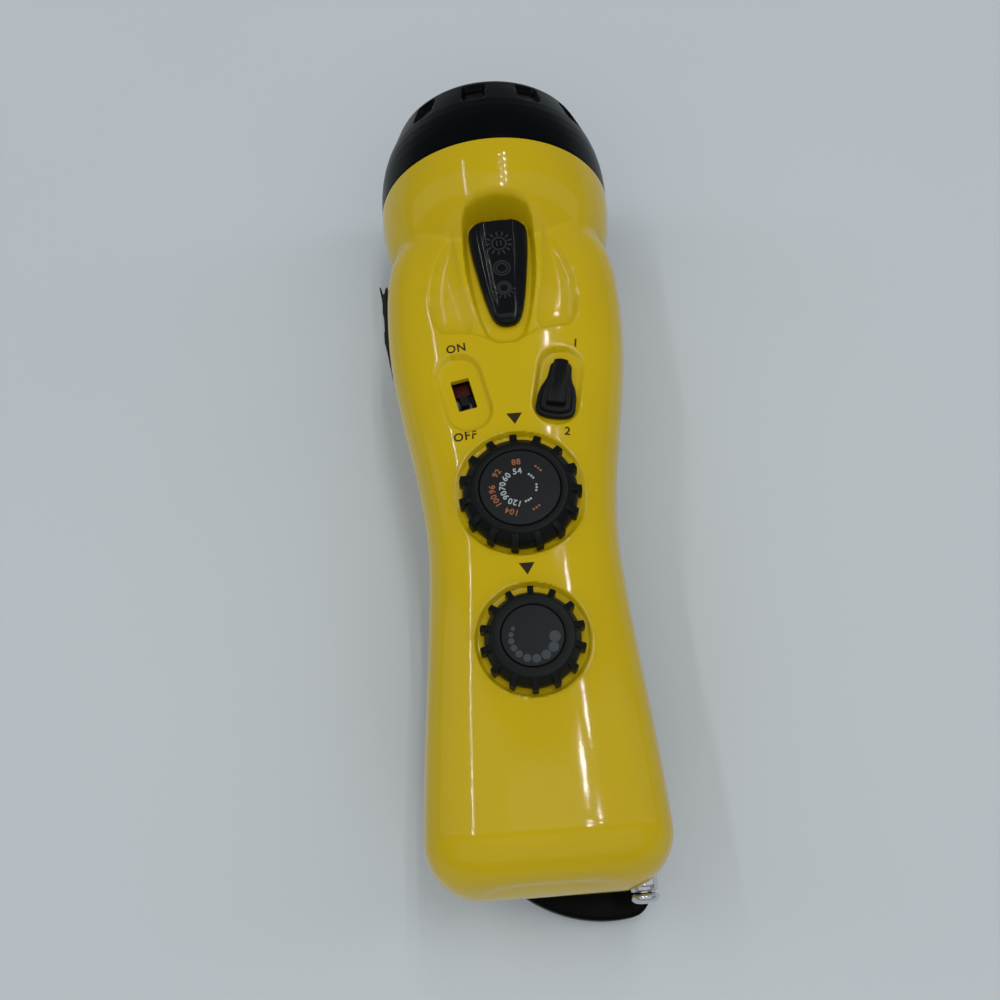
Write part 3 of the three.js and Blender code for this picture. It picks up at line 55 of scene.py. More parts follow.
EYE_PLACE = (-0.004571, -0.109491, 0.267221)
EYE_ROLL, EYE_TILT, EYE_TURN = radians(0.056), radians(23.54), radians(-4.526)
LENS, SENSOR, NEAREST = 37.8, 36, 0.01
ROOM_COLOUR, ROOM_LEVEL = (0.93, 0.97, 1, 1), 0.27
SOFTBOX_SHARES = (1.4, 1.0, 0.6)
SOFTBOXES = (  # name, place, size, watts, colour
    ("window", (-1.92, 0.4, 2.55), (0.85, 5.0), 10.8, (0.97, 0.99, 1)),
    ("far_wall", (2.0, 0.2, 2.5), (0.85, 5.0), 8.5, (1, 0.99, 0.97)),
    ("room", (0, -2.6, 2.9), (5.5, 2.8), 28, (1, 1, 1)),
)
CEILING, TUBE_WIDTH = 2, 0.01
TUBE_COUNT, TUBE_START, TUBE_PITCH = 6, -0.3, 0.27
TUBES = (  # name, x, sway of every other tube, shift along, length, watts
    ("left_tube_{}", -0.93, -0.03, 0, 0.25, 0.9),
    ("right_tube_{}", 0.27, 0, 0, 0.11, 0.8),
    ("right_tube_{}b", 0.42, 0, 0.13, 0.11, 0.8),
)


def look_from_above():
    camera = bpy.data.cameras.new("camera")
    camera.sensor_width = SENSOR
    camera.lens = LENS
    camera.clip_start = NEAREST
    eye = bpy.data.objects.new("camera", camera)
    turn = (
        Matrix.Rotation(EYE_ROLL, 4, "Z")
        @ Matrix.Rotation(EYE_TILT, 4, "X")
        @ Matrix.Rotation(EYE_TURN, 4, "Z")
    )
    eye.matrix_world = Matrix.Translation(EYE_PLACE) @ turn
    scene.collection.objects.link(eye)
    scene.camera = eye


def softbox(name, place, aim, size, watts, colour=(1, 1, 1)):
    lamp = bpy.data.lights.new(name, "AREA")
    lamp.shape = "RECTANGLE"
    lamp.size, lamp.size_y = size
    lamp.energy = watts
    lamp.color = colour
    holder = bpy.data.objects.new(name, lamp)
    holder.location = place
    holder.rotation_euler = (Vector(aim) - Vector(place)).to_track_quat("-Z", "Y").to_euler()
    scene.collection.objects.link(holder)


def light_scene():
    """A dim room, softboxes with graded edges, and rows of narrow ceiling tubes."""
    world = bpy.data.worlds.new("studio")
    world.use_nodes = True
    background = world.node_tree.nodes["Background"]
    background.inputs["Color"].default_value = ROOM_COLOUR
    background.inputs["Strength"].default_value = ROOM_LEVEL
    scene.world = world
    scene.view_settings.view_transform = "Standard"
    for i, share in enumerate(SOFTBOX_SHARES):
        for name, place, size, watts, colour in SOFTBOXES:
            extent = (size[0] * share, size[1] * (1 + share) / 2)
            softbox(f"{name}_{i}", place, (0, 0, 0), extent, watts, colour)
    for i in range(TUBE_COUNT):
        for name, x, sway, shift, length, watts in TUBES:
            x, y = x + sway * (i % 2), TUBE_START + TUBE_PITCH * i + shift
            softbox(name.format(i), (x, y, CEILING), (x, y, 0), (TUBE_WIDTH, length), watts)


# Materials

class Value:
    """One number socket, with arithmetic that adds Math nodes."""

    def __init__(self, finish, socket):
        self.finish, self.socket = finish, socket

    def math(self, operation, *values):
        return self.finish.node(
            "ShaderNodeMath", {"operation": operation}, dict(enumerate(values)),
        )

    def __add__(self, other):
        return self.math("ADD", self, other)

    __radd__ = __add__

    def __sub__(self, other):
        return self.math("SUBTRACT", self, other)

    def __mul__(self, other):
        return self.math("MULTIPLY", self, other)


class Finish:
    """One material and its nodes."""

    def __init__(self, name, colour, roughness, **sockets):
        self.material = bpy.data.materials.new(name)
        self.material.use_nodes = True
        self.tree = self.material.node_tree
        self.shader = self.tree.nodes["Principled BSDF"]
        self.set("Base Color", (*colour, 1))
        self.set("Roughness", roughness)
        for socket, value in sockets.items():
            self.set(socket.replace("_", " "), value)
        self.place = self.node("ShaderNodeTexCoord", {}, {}, "Object")

    def node(self, kind, settings, sockets, output=0):
        made = self.tree.nodes.new(kind)
        for key, value in settings.items():
            setattr(made, key, value)
        for key, value in sockets.items():
            self.feed(made.inputs[key], value)
        return Value(self, made.outputs[output])

    def feed(self, socket, value):
        if isinstance(value, Value):
            self.tree.links.new(value.socket, socket)
        else:
            socket.default_value = value

    def set(self, socket, value):
        self.feed(self.shader.inputs[socket], value)

    def noise(self, scale, detail=2, roughness=0.5):
        return self.node("ShaderNodeTexNoise", {}, {
            "Vector": self.place, "Scale": scale, "Detail": detail, "Roughness": roughness,
        })

    def between(self, value, low, high, start=0, end=1):
        return self.node("ShaderNodeMapRange", {"clamp": True}, {
            "Value": value, "From Min": low, "From Max": high, "To Min": start, "To Max": end,
        })

    def mix(self, share, first, second):
        return self.node("ShaderNodeMix", {"data_type": "RGBA"}, {
            0: share, 6: (*first, 1), 7: (*second, 1),
        }, 2)

    def bump(self, height, depth):
        self.set("Normal", self.node("ShaderNodeBump", {}, {
            "Height": height, "Distance": depth * MM, "Strength": 1,
        }))


def linear(*colour):
    """A colour as it shows, 0 to 255, to the linear values that Blender mixes."""
    shares = [channel / 255 for channel in colour]
    return tuple(c / 12.92 if c <= 0.04045 else ((c + 0.055) / 1.055) ** 2.4 for c in shares)


def moulded(name, colour, worn, roughness, grain=900, spread=0.05, depth=0.01, **sockets):
    """Moulded plastic: slow shade changes, a fine grain, and haze from handling."""
    finish = Finish(name, colour, roughness, **sockets)
    cloud = finish.noise(28, 3)
    haze = finish.noise(9, 4, roughness=0.6)
    finish.set("Base Color", finish.mix(finish.between(cloud, 0.35, 0.75), colour, worn))
    finish.set("Roughness", roughness + (haze - 0.5) * spread * 2)
    finish.bump(finish.noise(grain), depth)
    return finish.material


yellow_shell = moulded(
    "yellow_shell", linear(186, 160, 10), linear(181, 155, 14), 0.07, grain=700, spread=0.012,
    depth=0.008, IOR=1.34,
)
satin_bezel = moulded(
    "satin_bezel", linear(1, 3, 4), linear(3, 5, 6), 0.26, spread=0.04, IOR=1.13,
)
gloss_slider = moulded(
    "gloss_slider", linear(4, 6, 7), linear(6, 8, 9), 0.09, grain=300, spread=0.03,
    depth=0.003, IOR=1.27,
)
rubbery_dial = moulded(
    "rubbery_dial", linear(10, 13, 13), linear(16, 19, 19), 0.36, spread=0.08, IOR=1.18,
)
switch_plastic = moulded("switch_plastic", linear(11, 12, 13), linear(18, 19, 20), 0.32, IOR=1.2)
crank_plastic = moulded("crank_plastic", linear(1, 2, 1), linear(3, 4, 3), 0.36, IOR=1.13)
soft_rubber = moulded(
    "soft_rubber", linear(10, 11, 12), linear(16, 16, 17), 0.55, spread=0.1, depth=0.02, IOR=1.3,
)
red_wafer = moulded("red_wafer", linear(58, 9, 5), linear(44, 6, 4), 0.5, IOR=1.2)
white_nylon = moulded("white_nylon", linear(218, 216, 206), linear(206, 203, 190), 0.4)
grey_moulding = moulded("grey_moulding", linear(96, 99, 101), linear(84, 87, 90), 0.45)
battery_sleeve = moulded("battery_sleeve", linear(46, 92, 66), linear(38, 78, 55), 0.28)
label_print = moulded(
    "label_print", linear(13, 16, 18), linear(20, 23, 25), 0.5, grain=500, depth=0.03, IOR=1.25,
)


def metal(name, colour, roughness, spread=0.08):
    finish = Finish(name, colour, roughness, Metallic=1.0)
    streaks = finish.noise(1400, 3)
    smears = finish.noise(60, 4)
    finish.set("Roughness", roughness + (smears - 0.5) * spread * 2)
    finish.bump(streaks, 0.003)
    return finish.material


chrome = metal("chrome", linear(206, 208, 211), 0.05, spread=0.03)
plated_steel = metal("plated_steel", linear(168, 170, 172), 0.32)
switch_can = metal("switch_can", linear(96, 92, 88), 0.3)
brass = metal("brass", linear(200, 164, 92), 0.3)
copper_winding = metal("copper_winding", linear(176, 98, 58), 0.36)
ferrite_grey = metal("ferrite_grey", linear(62, 62, 64), 0.5)
mirror_coat = metal("mirror_coat", linear(226, 229, 232), 0.05, spread=0.03)


def board_lacquer():
    finish = Finish("board_lacquer", linear(28, 78, 48), 0.35)
    tracks = finish.node("ShaderNodeTexBrick", {}, {
        "Vector": finish.place, "Scale": 180, "Mortar Size": 0.03,
    }, 1)
    finish.set("Base Color", finish.mix(tracks, linear(24, 70, 42), linear(44, 104, 64)))
    finish.bump(tracks, 0.03)
    return finish.material


def clear_lens():
    finish = Finish("clear_lens", (1, 1, 1), 0.04, Transmission_Weight=1.0, IOR=1.49)
    dust = finish.noise(420, 3)
    finish.set("Roughness", finish.between(dust, 0.4, 0.8, 0.02, 0.07))
    return finish.material


def lamp_dome():
    finish = Finish("lamp_dome", linear(236, 238, 228), 0.12, Transmission_Weight=0.6, IOR=1.5)
    glow = finish.noise(300)
    finish.set("Base Color", finish.mix(glow, linear(240, 240, 226), linear(228, 226, 190)))
    return finish.material


def ink(name, colour, worn):
    finish = Finish(name, colour, 0.5, IOR=1.2)
    finish.set("Base Color", finish.mix(finish.noise(700, 3), colour, worn))
    return finish.material


inks_and_highlight = {
    "orange": ink("orange_ink", linear(158, 98, 66), linear(122, 76, 52)),
    "pale": ink("pale_ink", linear(170, 178, 180), linear(132, 140, 142)),
    "grey": ink("grey_ink", linear(64, 70, 74), linear(52, 58, 62)),
    "brown": ink("brown_ink", linear(34, 24, 12), linear(52, 38, 16)),
    # The slider's raised marks are the same black as the slider. Their lighter grey is painted
    # highlight, for the light caught by their raised edges.
    "mark": ink("mark_painted_highlight", linear(34, 38, 40), linear(46, 50, 52)),
}

slot_finishes = {
    "yellow": yellow_shell, "satin_black": satin_bezel, "gloss_black": gloss_slider,
    "charcoal": rubbery_dial, "label": label_print, "rubber": soft_rubber, "chrome": chrome,
    "steel": plated_steel, "brass": brass, "copper": copper_winding, "magnet": ferrite_grey,
    "mirror": mirror_coat, "clear": clear_lens(), "lamp": lamp_dome(), "board": board_lacquer(),
    "nylon": white_nylon, "grey_plastic": grey_moulding, "battery_wrap": battery_sleeve,
}


def dress_frame():
    """Gives each CAD node the finish of its record slot, and a few their own."""
    for node in nodes.values():
        for slot in node.material_slots:
            slot.material = slot_finishes[slot.material.name.split(".")[0]]
    for name in ("function_switch_body", "band_switch_body"):
        nodes[name].material_slots[0].material = switch_can
    nodes["function_switch_lever"].material_slots[0].material = switch_plastic


# Mesh helpers

def smooth(value):
    share = np.clip(value, 0, 1)
    return share * share * (3 - 2 * share)


def verts_of(geometry):
    return [part for part in geometry if isinstance(part, bmesh.types.BMVert)]


def edges_of(geometry):
    return [part for part in geometry if isinstance(part, bmesh.types.BMEdge)]


def weld(bm, distance):
    bmesh.ops.remove_doubles(bm, verts=bm.verts, dist=distance * MM)


def face_out(bm):
    bmesh.ops.recalc_face_normals(bm, faces=bm.faces)


def round_edges(bm, edges, width, segments=2, clamp=False):
    bmesh.ops.bevel(
        bm, geom=edges, offset=width * MM, offset_type="OFFSET", segments=segments, profile=0.5,
        affect="EDGES", material=-1, clamp_overlap=clamp,
    )


def cube(width, length, height):
    bm = bmesh.new()
    bmesh.ops.create_cube(bm, size=1)
    bmesh.ops.scale(bm, verts=bm.verts, vec=(width * MM, length * MM, height * MM))
    return bm


def sheet(x, y, z):
    """A sheet of faces through arrays of places in millimetres."""
    count, columns = x.shape
    bm = bmesh.new()
    bmesh.ops.create_grid(bm, x_segments=columns - 1, y_segments=count - 1, size=1)
    for v in bm.verts:
        i = round((v.co.y + 1) / 2 * (count - 1))
        j = round((v.co.x + 1) / 2 * (columns - 1))
        v.co = row(x[i, j], y[i, j], z[i, j])
    return bm


def slab(bm, points, thickness):
    """A flat outline, raised to a solid."""
    face = bm.faces.new([bm.verts.new(point) for point in points])
    grown = bmesh.ops.extrude_face_region(bm, geom=[face])["geom"]
    bmesh.ops.translate(bm, verts=verts_of(grown), vec=(0, 0, thickness * MM))


def round_rims(bm, width, segments):
    """Rounds the level edges of a slab."""
    level = [e for e in bm.edges if abs(e.verts[0].co.z - e.verts[1].co.z) < 1e-7]
    round_edges(bm, level, width, segments, clamp=True)
    face_out(bm)


def spin(bm, points, centre, axis, steps):
    """Spins a chain of points a whole turn about an axis."""
    verts = [bm.verts.new(point) for point in points]
    edges = [bm.edges.new(pair) for pair in zip(verts, verts[1:])]
    bmesh.ops.spin(
        bm, geom=verts + edges, cent=centre, axis=axis, angle=2 * pi, steps=steps,
        use_merge=True,
    )


def ring_upright(bm, x, y, profile, steps=160):
    """Spins a profile of radius and height about an upright axis."""
    spin(bm, [row(x + radius, y, height) for radius, height in profile], row(x, y, 0), UP, steps)


def tube_profile(radius, tube):
    """The round section of a thin ring."""
    return [(radius + tube * cos(a), tube * sin(a)) for a in np.linspace(0, 2 * pi, 9)]


def close_mesh(bm):
    weld(bm, 0.002)
    face_out(bm)


def add_mesh(bm, other):
    """Adds one bmesh's faces to another."""
    mesh = bpy.data.meshes.new("joined")
    other.to_mesh(mesh)
    other.free()
    bm.from_mesh(mesh)
    bpy.data.meshes.remove(mesh)


def show(name, bm, material):
    """An object in the scene, with a bmesh's faces and one material."""
    mesh = bpy.data.meshes.new(name)
    bm.to_mesh(mesh)
    bm.free()
    mesh.materials.append(material)
    made = bpy.data.objects.new(name, mesh)
    scene.collection.objects.link(made)
    return made


def piece(name, bm, material, body, replaced=(), crease=35):
    made = show(name, bm, material)
    made.data.shade_smooth()
    made.data.set_sharp_from_angle(angle=radians(crease))
    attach(made, body)
    if replaced:
        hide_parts(*replaced)


def curve(start, bend, end, steps=12):
    """Points of a bent stroke, without its last one."""
    shares = [i / steps for i in range(steps)]
    return [tuple(
        (1 - t) ** 2 * a + 2 * t * (1 - t) * b + t * t * c for a, b, c in zip(start, bend, end)
    ) for t in shares]


def mirrored(points):
    """A half outline on the right side, closed by its mirror image."""
    return points + [(-x, y) for x, y in reversed(points) if x > 0.01]


# Casing

PARTING, SEAM = 30.0, 0.15
TAIL_HALF, WAIST_HALF, SHOULDER_HALF = 26.6, 22.5, 30.2
WAIST_PLACE, SHOULDER_PLACE, SHOULDER_END = 74.0, 138.0, 170.0
FRONT_HEIGHT, FRONT_RISE, RISE_PLACE, RISE_LENGTH, BACK_HEIGHT = 20, 2.6, 116, 32, 19
FRONT_SQUARE, BACK_SQUARE = 3.6, 2.8
TAIL_ROUND, TAIL_LEAN, LEAN_LENGTH = 12.0, 2, 24
HEAD_RADIUS, HEAD_AXIS, HEAD_PLACE, NECK_RADIUS, NECK_END = 31.0, 31.0, 177.1, 28.4, 184.0
BOWL_PLACE, BOWL_LENGTH, BOWL_CUT = 175.8, 36.0, 5
BLEND = 1.6
STEP, PANEL_STEP, CREST_STEP = 0.8, 0.44, 0.24
SHELL_WALL = 1.8


def half_width(place):
    low = smooth((np.clip(WAIST_PLACE - np.maximum(place, 0), 0, None) / WAIST_PLACE) ** 0.85)
    high = smooth((place - WAIST_PLACE) / (SHOULDER_PLACE - WAIST_PLACE))
    return np.where(
        place < WAIST_PLACE,
        WAIST_HALF + (TAIL_HALF - WAIST_HALF) * low,
        WAIST_HALF + (SHOULDER_HALF - WAIST_HALF) * high,
    )


def casing_rows(is_front):
    """Rows of the skin from the middle of the tail end to the neck: place, inset, shrink."""
    rows = [(0, TAIL_ROUND, share) for share in np.linspace(0, 1, 14)]
    rows += [
        (TAIL_ROUND * (1 - cos(a)), TAIL_ROUND * (1 - sin(a)), 1)
        for a in np.linspace(0, pi / 2, 26)[1:]
    ]
    places = [TAIL_ROUND]
    while places[-1] < HEAD_PLACE:
        place, step = places[-1], STEP
        if is_front and 156 < place < 166:
            step = CREST_STEP
        elif is_front and 33 < place < 167:
            step = PANEL_STEP
        places.append(place + step)
    places[-1] = HEAD_PLACE
    rows += [(place, 0, 1) for place in places[1:]]
    return np.array(rows)


def column_angles(is_front):
    """Column angles from the right seam to the left, closer together over the panel."""
    samples = np.linspace(0, pi, 721)
    weights = 1 + 1.5 * smooth((abs(np.sin(samples[1:])) - 0.62) / 0.3) * is_front
    total = np.concatenate([[0], np.cumsum(weights)])
    count = 176 if is_front else 130
    return np.interp(np.linspace(0, total[-1], count + 1), total, samples)


def casing_skin(rows, angles, is_front):
    """The skin before its hollows, and how far up each point lies, 0 to 1."""
    place, inset, shrink = (column[:, None] for column in rows.T)
    sign = 1 if is_front else -1
    across, up = np.cos(angles)[None, :], sign * np.sin(angles)[None, :]
    end = np.clip((place - SHOULDER_PLACE) / (SHOULDER_END - SHOULDER_PLACE), 0, 1)
    reach = (1 - end ** 3.5) ** 0.4
    width = half_width(place) * reach - inset
    rise = FRONT_RISE * smooth((place - RISE_PLACE) / RISE_LENGTH)
    height = (FRONT_HEIGHT + rise) * reach if is_front else BACK_HEIGHT * reach
    height = height - inset * 0.8
    square = FRONT_SQUARE if is_front else BACK_SQUARE
    width, height = np.maximum(width, 1e-3), np.maximum(height, 1e-3)
    radius = (abs(across / width) ** square + abs(up / height) ** square) ** (-1 / square)
    length = BOWL_LENGTH - (BOWL_CUT * smooth((up - 0.55) / 0.4) if is_front else 0)
    bowl = np.sqrt(np.clip(1 - ((BOWL_PLACE - place) / length) ** 2, 0, 1))
    bowl = np.where(place > BOWL_PLACE, HEAD_RADIUS, HEAD_RADIUS * bowl)
    bowl = np.where(place < BOWL_PLACE - length, 0, bowl)
    drop = HEAD_AXIS - PARTING
    barrel = up * drop + np.sqrt(np.clip(bowl ** 2 - (across * drop) ** 2, 0, None))
    share = np.clip(0.5 + 0.5 * (radius - barrel) / BLEND, 0, 1)
    joined = barrel * (1 - share) + radius * share + BLEND * share * (1 - share)
    fillet = np.where(barrel > 2, joined, radius)
    x, z = fillet * across * shrink, fillet * up * shrink
    lean = TAIL_LEAN * (1 - smooth(place / LEAN_LENGTH))
    y = place + lean * np.minimum(np.abs(z) / height, 1) ** 2
    return x, y, z + PARTING, np.minimum(abs(z) / height, 1)


def outline_depth(outline, x, y):
    """How far each point is inside a closed outline, in millimetres, negative outside."""
    outline = np.array(outline)
    nearest = np.full(x.shape, 1e9)
    inside = np.zeros(x.shape, bool)
    for (ax, ay), (bx, by) in zip(outline, np.roll(outline, -1, axis=0)):
        length = (bx - ax) ** 2 + (by - ay) ** 2
        along = np.clip(((x - ax) * (bx - ax) + (y - ay) * (by - ay)) / length, 0, 1)
        gap = np.hypot(x - ax - along * (bx - ax), y - ay - along * (by - ay))
        nearest = np.minimum(nearest, gap)
        crosses = (ay > y) != (by > y)
        with np.errstate(divide="ignore", invalid="ignore"):
            inside ^= crosses & (x < (bx - ax) * (y - ay) / (by - ay) + ax)
    return np.where(inside, nearest, -nearest)


PANEL, SINK_FLOOR, WELL_FLOOR = 50.0, 48.4, 48.6
RECESS_X, RECESS_PLACE, RECESS_LEAN = 11.3, 112.1, radians(12)
RECESS_RADIUS, RECESS_REACH = 5.2, 5
TUNING, VOLUME = 84.4, 50.3
WELLS = ((TUNING + 0.75, 14.95), (VOLUME + 0.5, 12.3))
COVER_FLOOR, JACK_HEIGHT = -29.6, 30
COVER_ENDS, COVER_SIDES = (126.1, 148.6), (24, 36)
CHANNEL = mirrored([
    (0, 124.9), (2.8, 125.5), (4.7, 127.4), (5.9, 131), (7.1, 136), (8.1, 143), (8.5, 150),
    (8.5, 155), (8.2, 158), (7.2, 160.4), (4.4, 161.7), (0, 162.2),
])
HEAD_ARCH = mirrored([
    (0, 150), (8.8, 150), (9.1, 156.0), (8.8, 159.4), (7.5, 161.9), (4.4, 163.2), (0, 163.6),
])
WAVE = mirrored([
    (0, 124.5), (2.4, 124.7), (5.2, 126.2), (8.2, 127.6), (12.3, 128.0), (15.6, 128.4),
    (17.5, 131.0), (18.2, 136.6), (14, 142), (0, 142),
])
SCOOP = [
    (11.3, 157.2), (14.2, 152.6), (16.6, 147.6), (17.9, 142), (18.1, 136.6), (17.3, 131.2),
    (15.6, 128.7), (12.3, 128.1), (8.8, 127.6), (7.6, 129.4), (7.9, 133.5), (9.2, 139),
    (9.9, 144), (10.4, 150),
]
WAVE_DEPTH, SCOOP_DEPTH, SCOOP_SLOPE, ARCH_DEPTH = 0.7, 1.6, 4.2, 1.5


def leaning(x, y, hand):
    """Row places to a switch's own, which leans outwards at the head end."""
    turn = hand * RECESS_LEAN
    dx, dy = x - hand * RECESS_X, y - RECESS_PLACE
    return dx * cos(turn) - dy * sin(turn), dx * sin(turn) + dy * cos(turn)


def leaned(u, v, hand):
    """A switch's own place back to the row's."""
    turn = hand * RECESS_LEAN
    return (
        u * cos(turn) + v * sin(turn) + hand * RECESS_X,
        -u * sin(turn) + v * cos(turn) + RECESS_PLACE,
    )


def sink(z, depth, floor, wall):
    """Lowers what is inside an outline to a floor, over a wall of the width given."""
    return z - np.maximum(z - floor, 0) * smooth(depth / wall + 0.5)


def carve_front(x, y, z, up):
    """The hollows of the front shell."""
    wave = smooth(outline_depth(WAVE, x, y) / 1.1 + 0.4) * smooth((141 - y) / 9)
    scoop = 1 - (1 - np.clip(outline_depth(SCOOP, abs(x), y) / SCOOP_SLOPE, 0, 1)) ** 2
    z = z - (WAVE_DEPTH * wave + SCOOP_DEPTH * scoop) * smooth((up - 0.5) / 0.3)
    arch = outline_depth(HEAD_ARCH, x, y)
    z = z - ARCH_DEPTH * smooth(arch / 2.2 + 0.2) * smooth((y - 151) / 6)
    channel_floor = PANEL - 0.9 * smooth((136 - y) / 8) - 0.2
    z = sink(z, outline_depth(CHANNEL, x, y), channel_floor, 1.4)
    for hand in (-1, 1):
        u, v = leaning(x, y, hand)
        corner = np.hypot(np.maximum(abs(u) - 0.1, 0), np.maximum(abs(v) - RECESS_REACH, 0))
        z = sink(z, RECESS_RADIUS - corner, SINK_FLOOR, 1.1)
    for place, radius in WELLS:
        z = sink(z, radius - np.hypot(x - 0.1, y - place), WELL_FLOOR, 0.9)
    return z


def carve_cover_seat(x, y, z):
    """The flat seat of the port cover on the left flank."""
    along = np.minimum(y - COVER_ENDS[0], COVER_ENDS[1] - y)
    across = np.minimum(z - COVER_SIDES[0], COVER_SIDES[1] - z)
    share = smooth(np.minimum(along, across) / 0.5 + 0.5)
    return np.where(x < COVER_FLOOR, x + (COVER_FLOOR - x) * share, x)


def build_skin(is_front):
    x, y, z, up = casing_skin(casing_rows(is_front), column_angles(is_front), is_front)
    x = carve_cover_seat(x, y, z)
    if is_front:
        z = np.maximum(carve_front(x, y, z, up), PARTING + SEAM)
    else:
        z = np.minimum(z, PARTING - SEAM)
    bm = sheet(x, y, z)
    step_in_neck(bm)
    weld(bm, 0.02)
    face_out(bm)
    if (bm.faces[len(bm.faces) // 2].normal.z > 0) != is_front:
        bmesh.ops.reverse_faces(bm, faces=bm.faces)
    return bm


def step_in_neck(bm):
    """Carries the skin's front edge in and on, as the neck that the bezel screws over."""
    edge = [e for e in bm.edges if e.is_boundary and all(
        v.co.y > (HEAD_PLACE + TAIL - 0.1) * MM for v in e.verts
    )]
    limit = (PARTING + SEAM) * MM
    for place in (HEAD_PLACE, NECK_END):
        made = bmesh.ops.extrude_edge_only(bm, edges=edge)["geom"]
        edge = edges_of(made)
        for v in verts_of(made):
            out = Vector((v.co.x, 0, v.co.z - HEAD_AXIS * MM)).normalized() * NECK_RADIUS * MM
            v.co = row(0, place, HEAD_AXIS) + out
            if abs(v.co.z - limit) < 0.6 * MM:
                v.co.z = limit


def ring_points(centre, radius, axis, steps):
    """Points of a circle about an axis."""
    side = axis.orthogonal().normalized()
    return [
        centre + Matrix.Rotation(2 * pi * i / steps, 3, axis) @ side * radius * MM
        for i in range(steps)
    ]


def slot_points(u, v, half_u, half_v, corner, place, steps=5):
    """Points of a rounded slot, placed by a function of its own two lengths."""
    points = []
    for sx, sy, start in ((1, 1, 0), (-1, 1, pi / 2), (-1, -1, pi), (1, -1, 3 * pi / 2)):
        for i in range(steps + 1):
            a = start + pi / 2 * i / steps
            points.append(place(
                u + sx * (half_u - corner) + corner * cos(a),
                v + sy * (half_v - corner) + corner * sin(a),
            ))
    return points


def bore(bm, points, out, span):
    """Takes away what is inside a convex outline along a direction, and gives the rim."""
    centre = sum(points, Vector()) / len(points)
    reach = max((p - centre).length for p in points) + 1.5 * MM
    large = (4 * MM) ** 2

    def is_near(face):
        corners = [v.co - centre for v in face.verts]
        if not any(abs(corner.dot(out)) < span * MM for corner in corners):
            return False
        if face.calc_area() > large:
            return True
        offset = face.calc_center_median() - centre
        return (offset - out * offset.dot(out)).length < reach

    faces = [f for f in bm.faces if is_near(f)]
    geom = set(faces)
    for f in faces:
        geom.update(f.edges)
        geom.update(f.verts)
    geom = list(geom)
    planes = [
        (a, (b - a).cross(out).normalized()) for a, b in zip(points, points[1:] + points[:1])
    ]
    if sum((centre - a).dot(n) for a, n in planes) > 0:
        planes = [(a, -n) for a, n in planes]
    for a, n in planes:
        geom = bmesh.ops.bisect_plane(bm, geom=geom, plane_co=a, plane_no=n, dist=1e-8)["geom"]
    inside = [
        f for f in geom if isinstance(f, bmesh.types.BMFace)
        and all((f.calc_center_median() - a).dot(n) < 1e-8 for a, n in planes)
    ]
    marked = set(inside)
    rim = {
        e for f in inside for e in f.edges
        if any(other not in marked for other in e.link_faces)
    }
    bmesh.ops.delete(bm, geom=inside, context="FACES")
    return centre, [e for e in rim if e.is_valid]


def cut_opening(bm, points, out, depth, floor=False, span=9):
    """Cuts a convex opening through the skin along a direction, and gives it a wall."""
    centre, rim = bore(bm, points, out, span)
    made = bmesh.ops.extrude_edge_only(bm, edges=rim)["geom"]
    ends = verts_of(made)
    for v in ends:
        v.co -= out * (depth * MM)
    if floor:
        level = max((v.co - centre).dot(out) for v in ends)
        for v in ends:
            v.co += out * (level - (v.co - centre).dot(out))
        bmesh.ops.edgeloop_fill(bm, edges=edges_of(made))


def turn_edge_in(bm):
    """Turns the parting edge inwards, so that the seam shows the shell's own thickness."""
    seam = [
        e for e in bm.edges if e.is_boundary
        and all(abs(abs(v.co.z - PARTING * MM) - SEAM * MM) < 0.01 * MM for v in e.verts)
    ]
    normals = {v: v.normal.copy() for e in seam for v in e.verts}
    places = {v.co.copy().freeze(): n for v, n in normals.items()}
    for v in verts_of(bmesh.ops.extrude_edge_only(bm, edges=seam)["geom"]):
        normal = places[v.co.copy().freeze()]
        v.co -= Vector((normal.x, normal.y, 0)).normalized() * SHELL_WALL * MM


ANTENNA_LEAN, ANTENNA_END = radians(1.6), row(19.6, 0, 27)
ANTENNA_AXIS = Vector((sin(ANTENNA_LEAN), -cos(ANTENNA_LEAN), 0))
ANTENNA_HOLE = 3.35
JACKS = ((136, 3.3, 28), (144.6, 2.2, 24))
JACK_DEPTH, SLOT_DEPTH, SLOT_CORNER, SLOT_STEPS = 1.6, 1.5, 0.3, 2
SCREWS = ((-20.5, 16), (11.2, 47), (-21, 118), (21, 118))
GRILLE_PLACE, GRILLE_RADIUS, GRILLE_PITCH, GRILLE_SLOTS = 134, 11, 3.0, 7
HUB_PLACE = 66


def cut_shared(bm):
    """The openings that cross the parting line."""
    hole = ring_points(ANTENNA_END, ANTENNA_HOLE, ANTENNA_AXIS, 32)
    cut_opening(bm, hole, ANTENNA_AXIS, 3)
    for place, radius, steps in JACKS:
        hole = ring_points(row(COVER_FLOOR, place, JACK_HEIGHT), radius, LEFT, steps)
        cut_opening(bm, hole, LEFT, JACK_DEPTH)


def build_front_shell():
    """Makes the front shell, and gives its skin back, for the print to lie on."""
    bm = build_skin(True)

    def on_panel(hand):
        return lambda u, v: row(*leaned(u, v, hand), SINK_FLOOR)

    for place, half_u, half_v, to_row in (
        (0, 2.25, 4.2, on_panel(-1)), (0, 1.5, 3.7, on_panel(1)),
        (144, 2, 5.5, lambda x, y: row(x, y, PANEL)),
    ):
        slot = slot_points(0, place, half_u, half_v, SLOT_CORNER, to_row, SLOT_STEPS)
        cut_opening(bm, slot, UP, SLOT_DEPTH)
    cut_shared(bm)
    turn_edge_in(bm)
    skin = BVHTree.FromBMesh(bm)
    piece("front_shell_skin", bm, yellow_shell, "casing", ["front_shell"])
    return skin


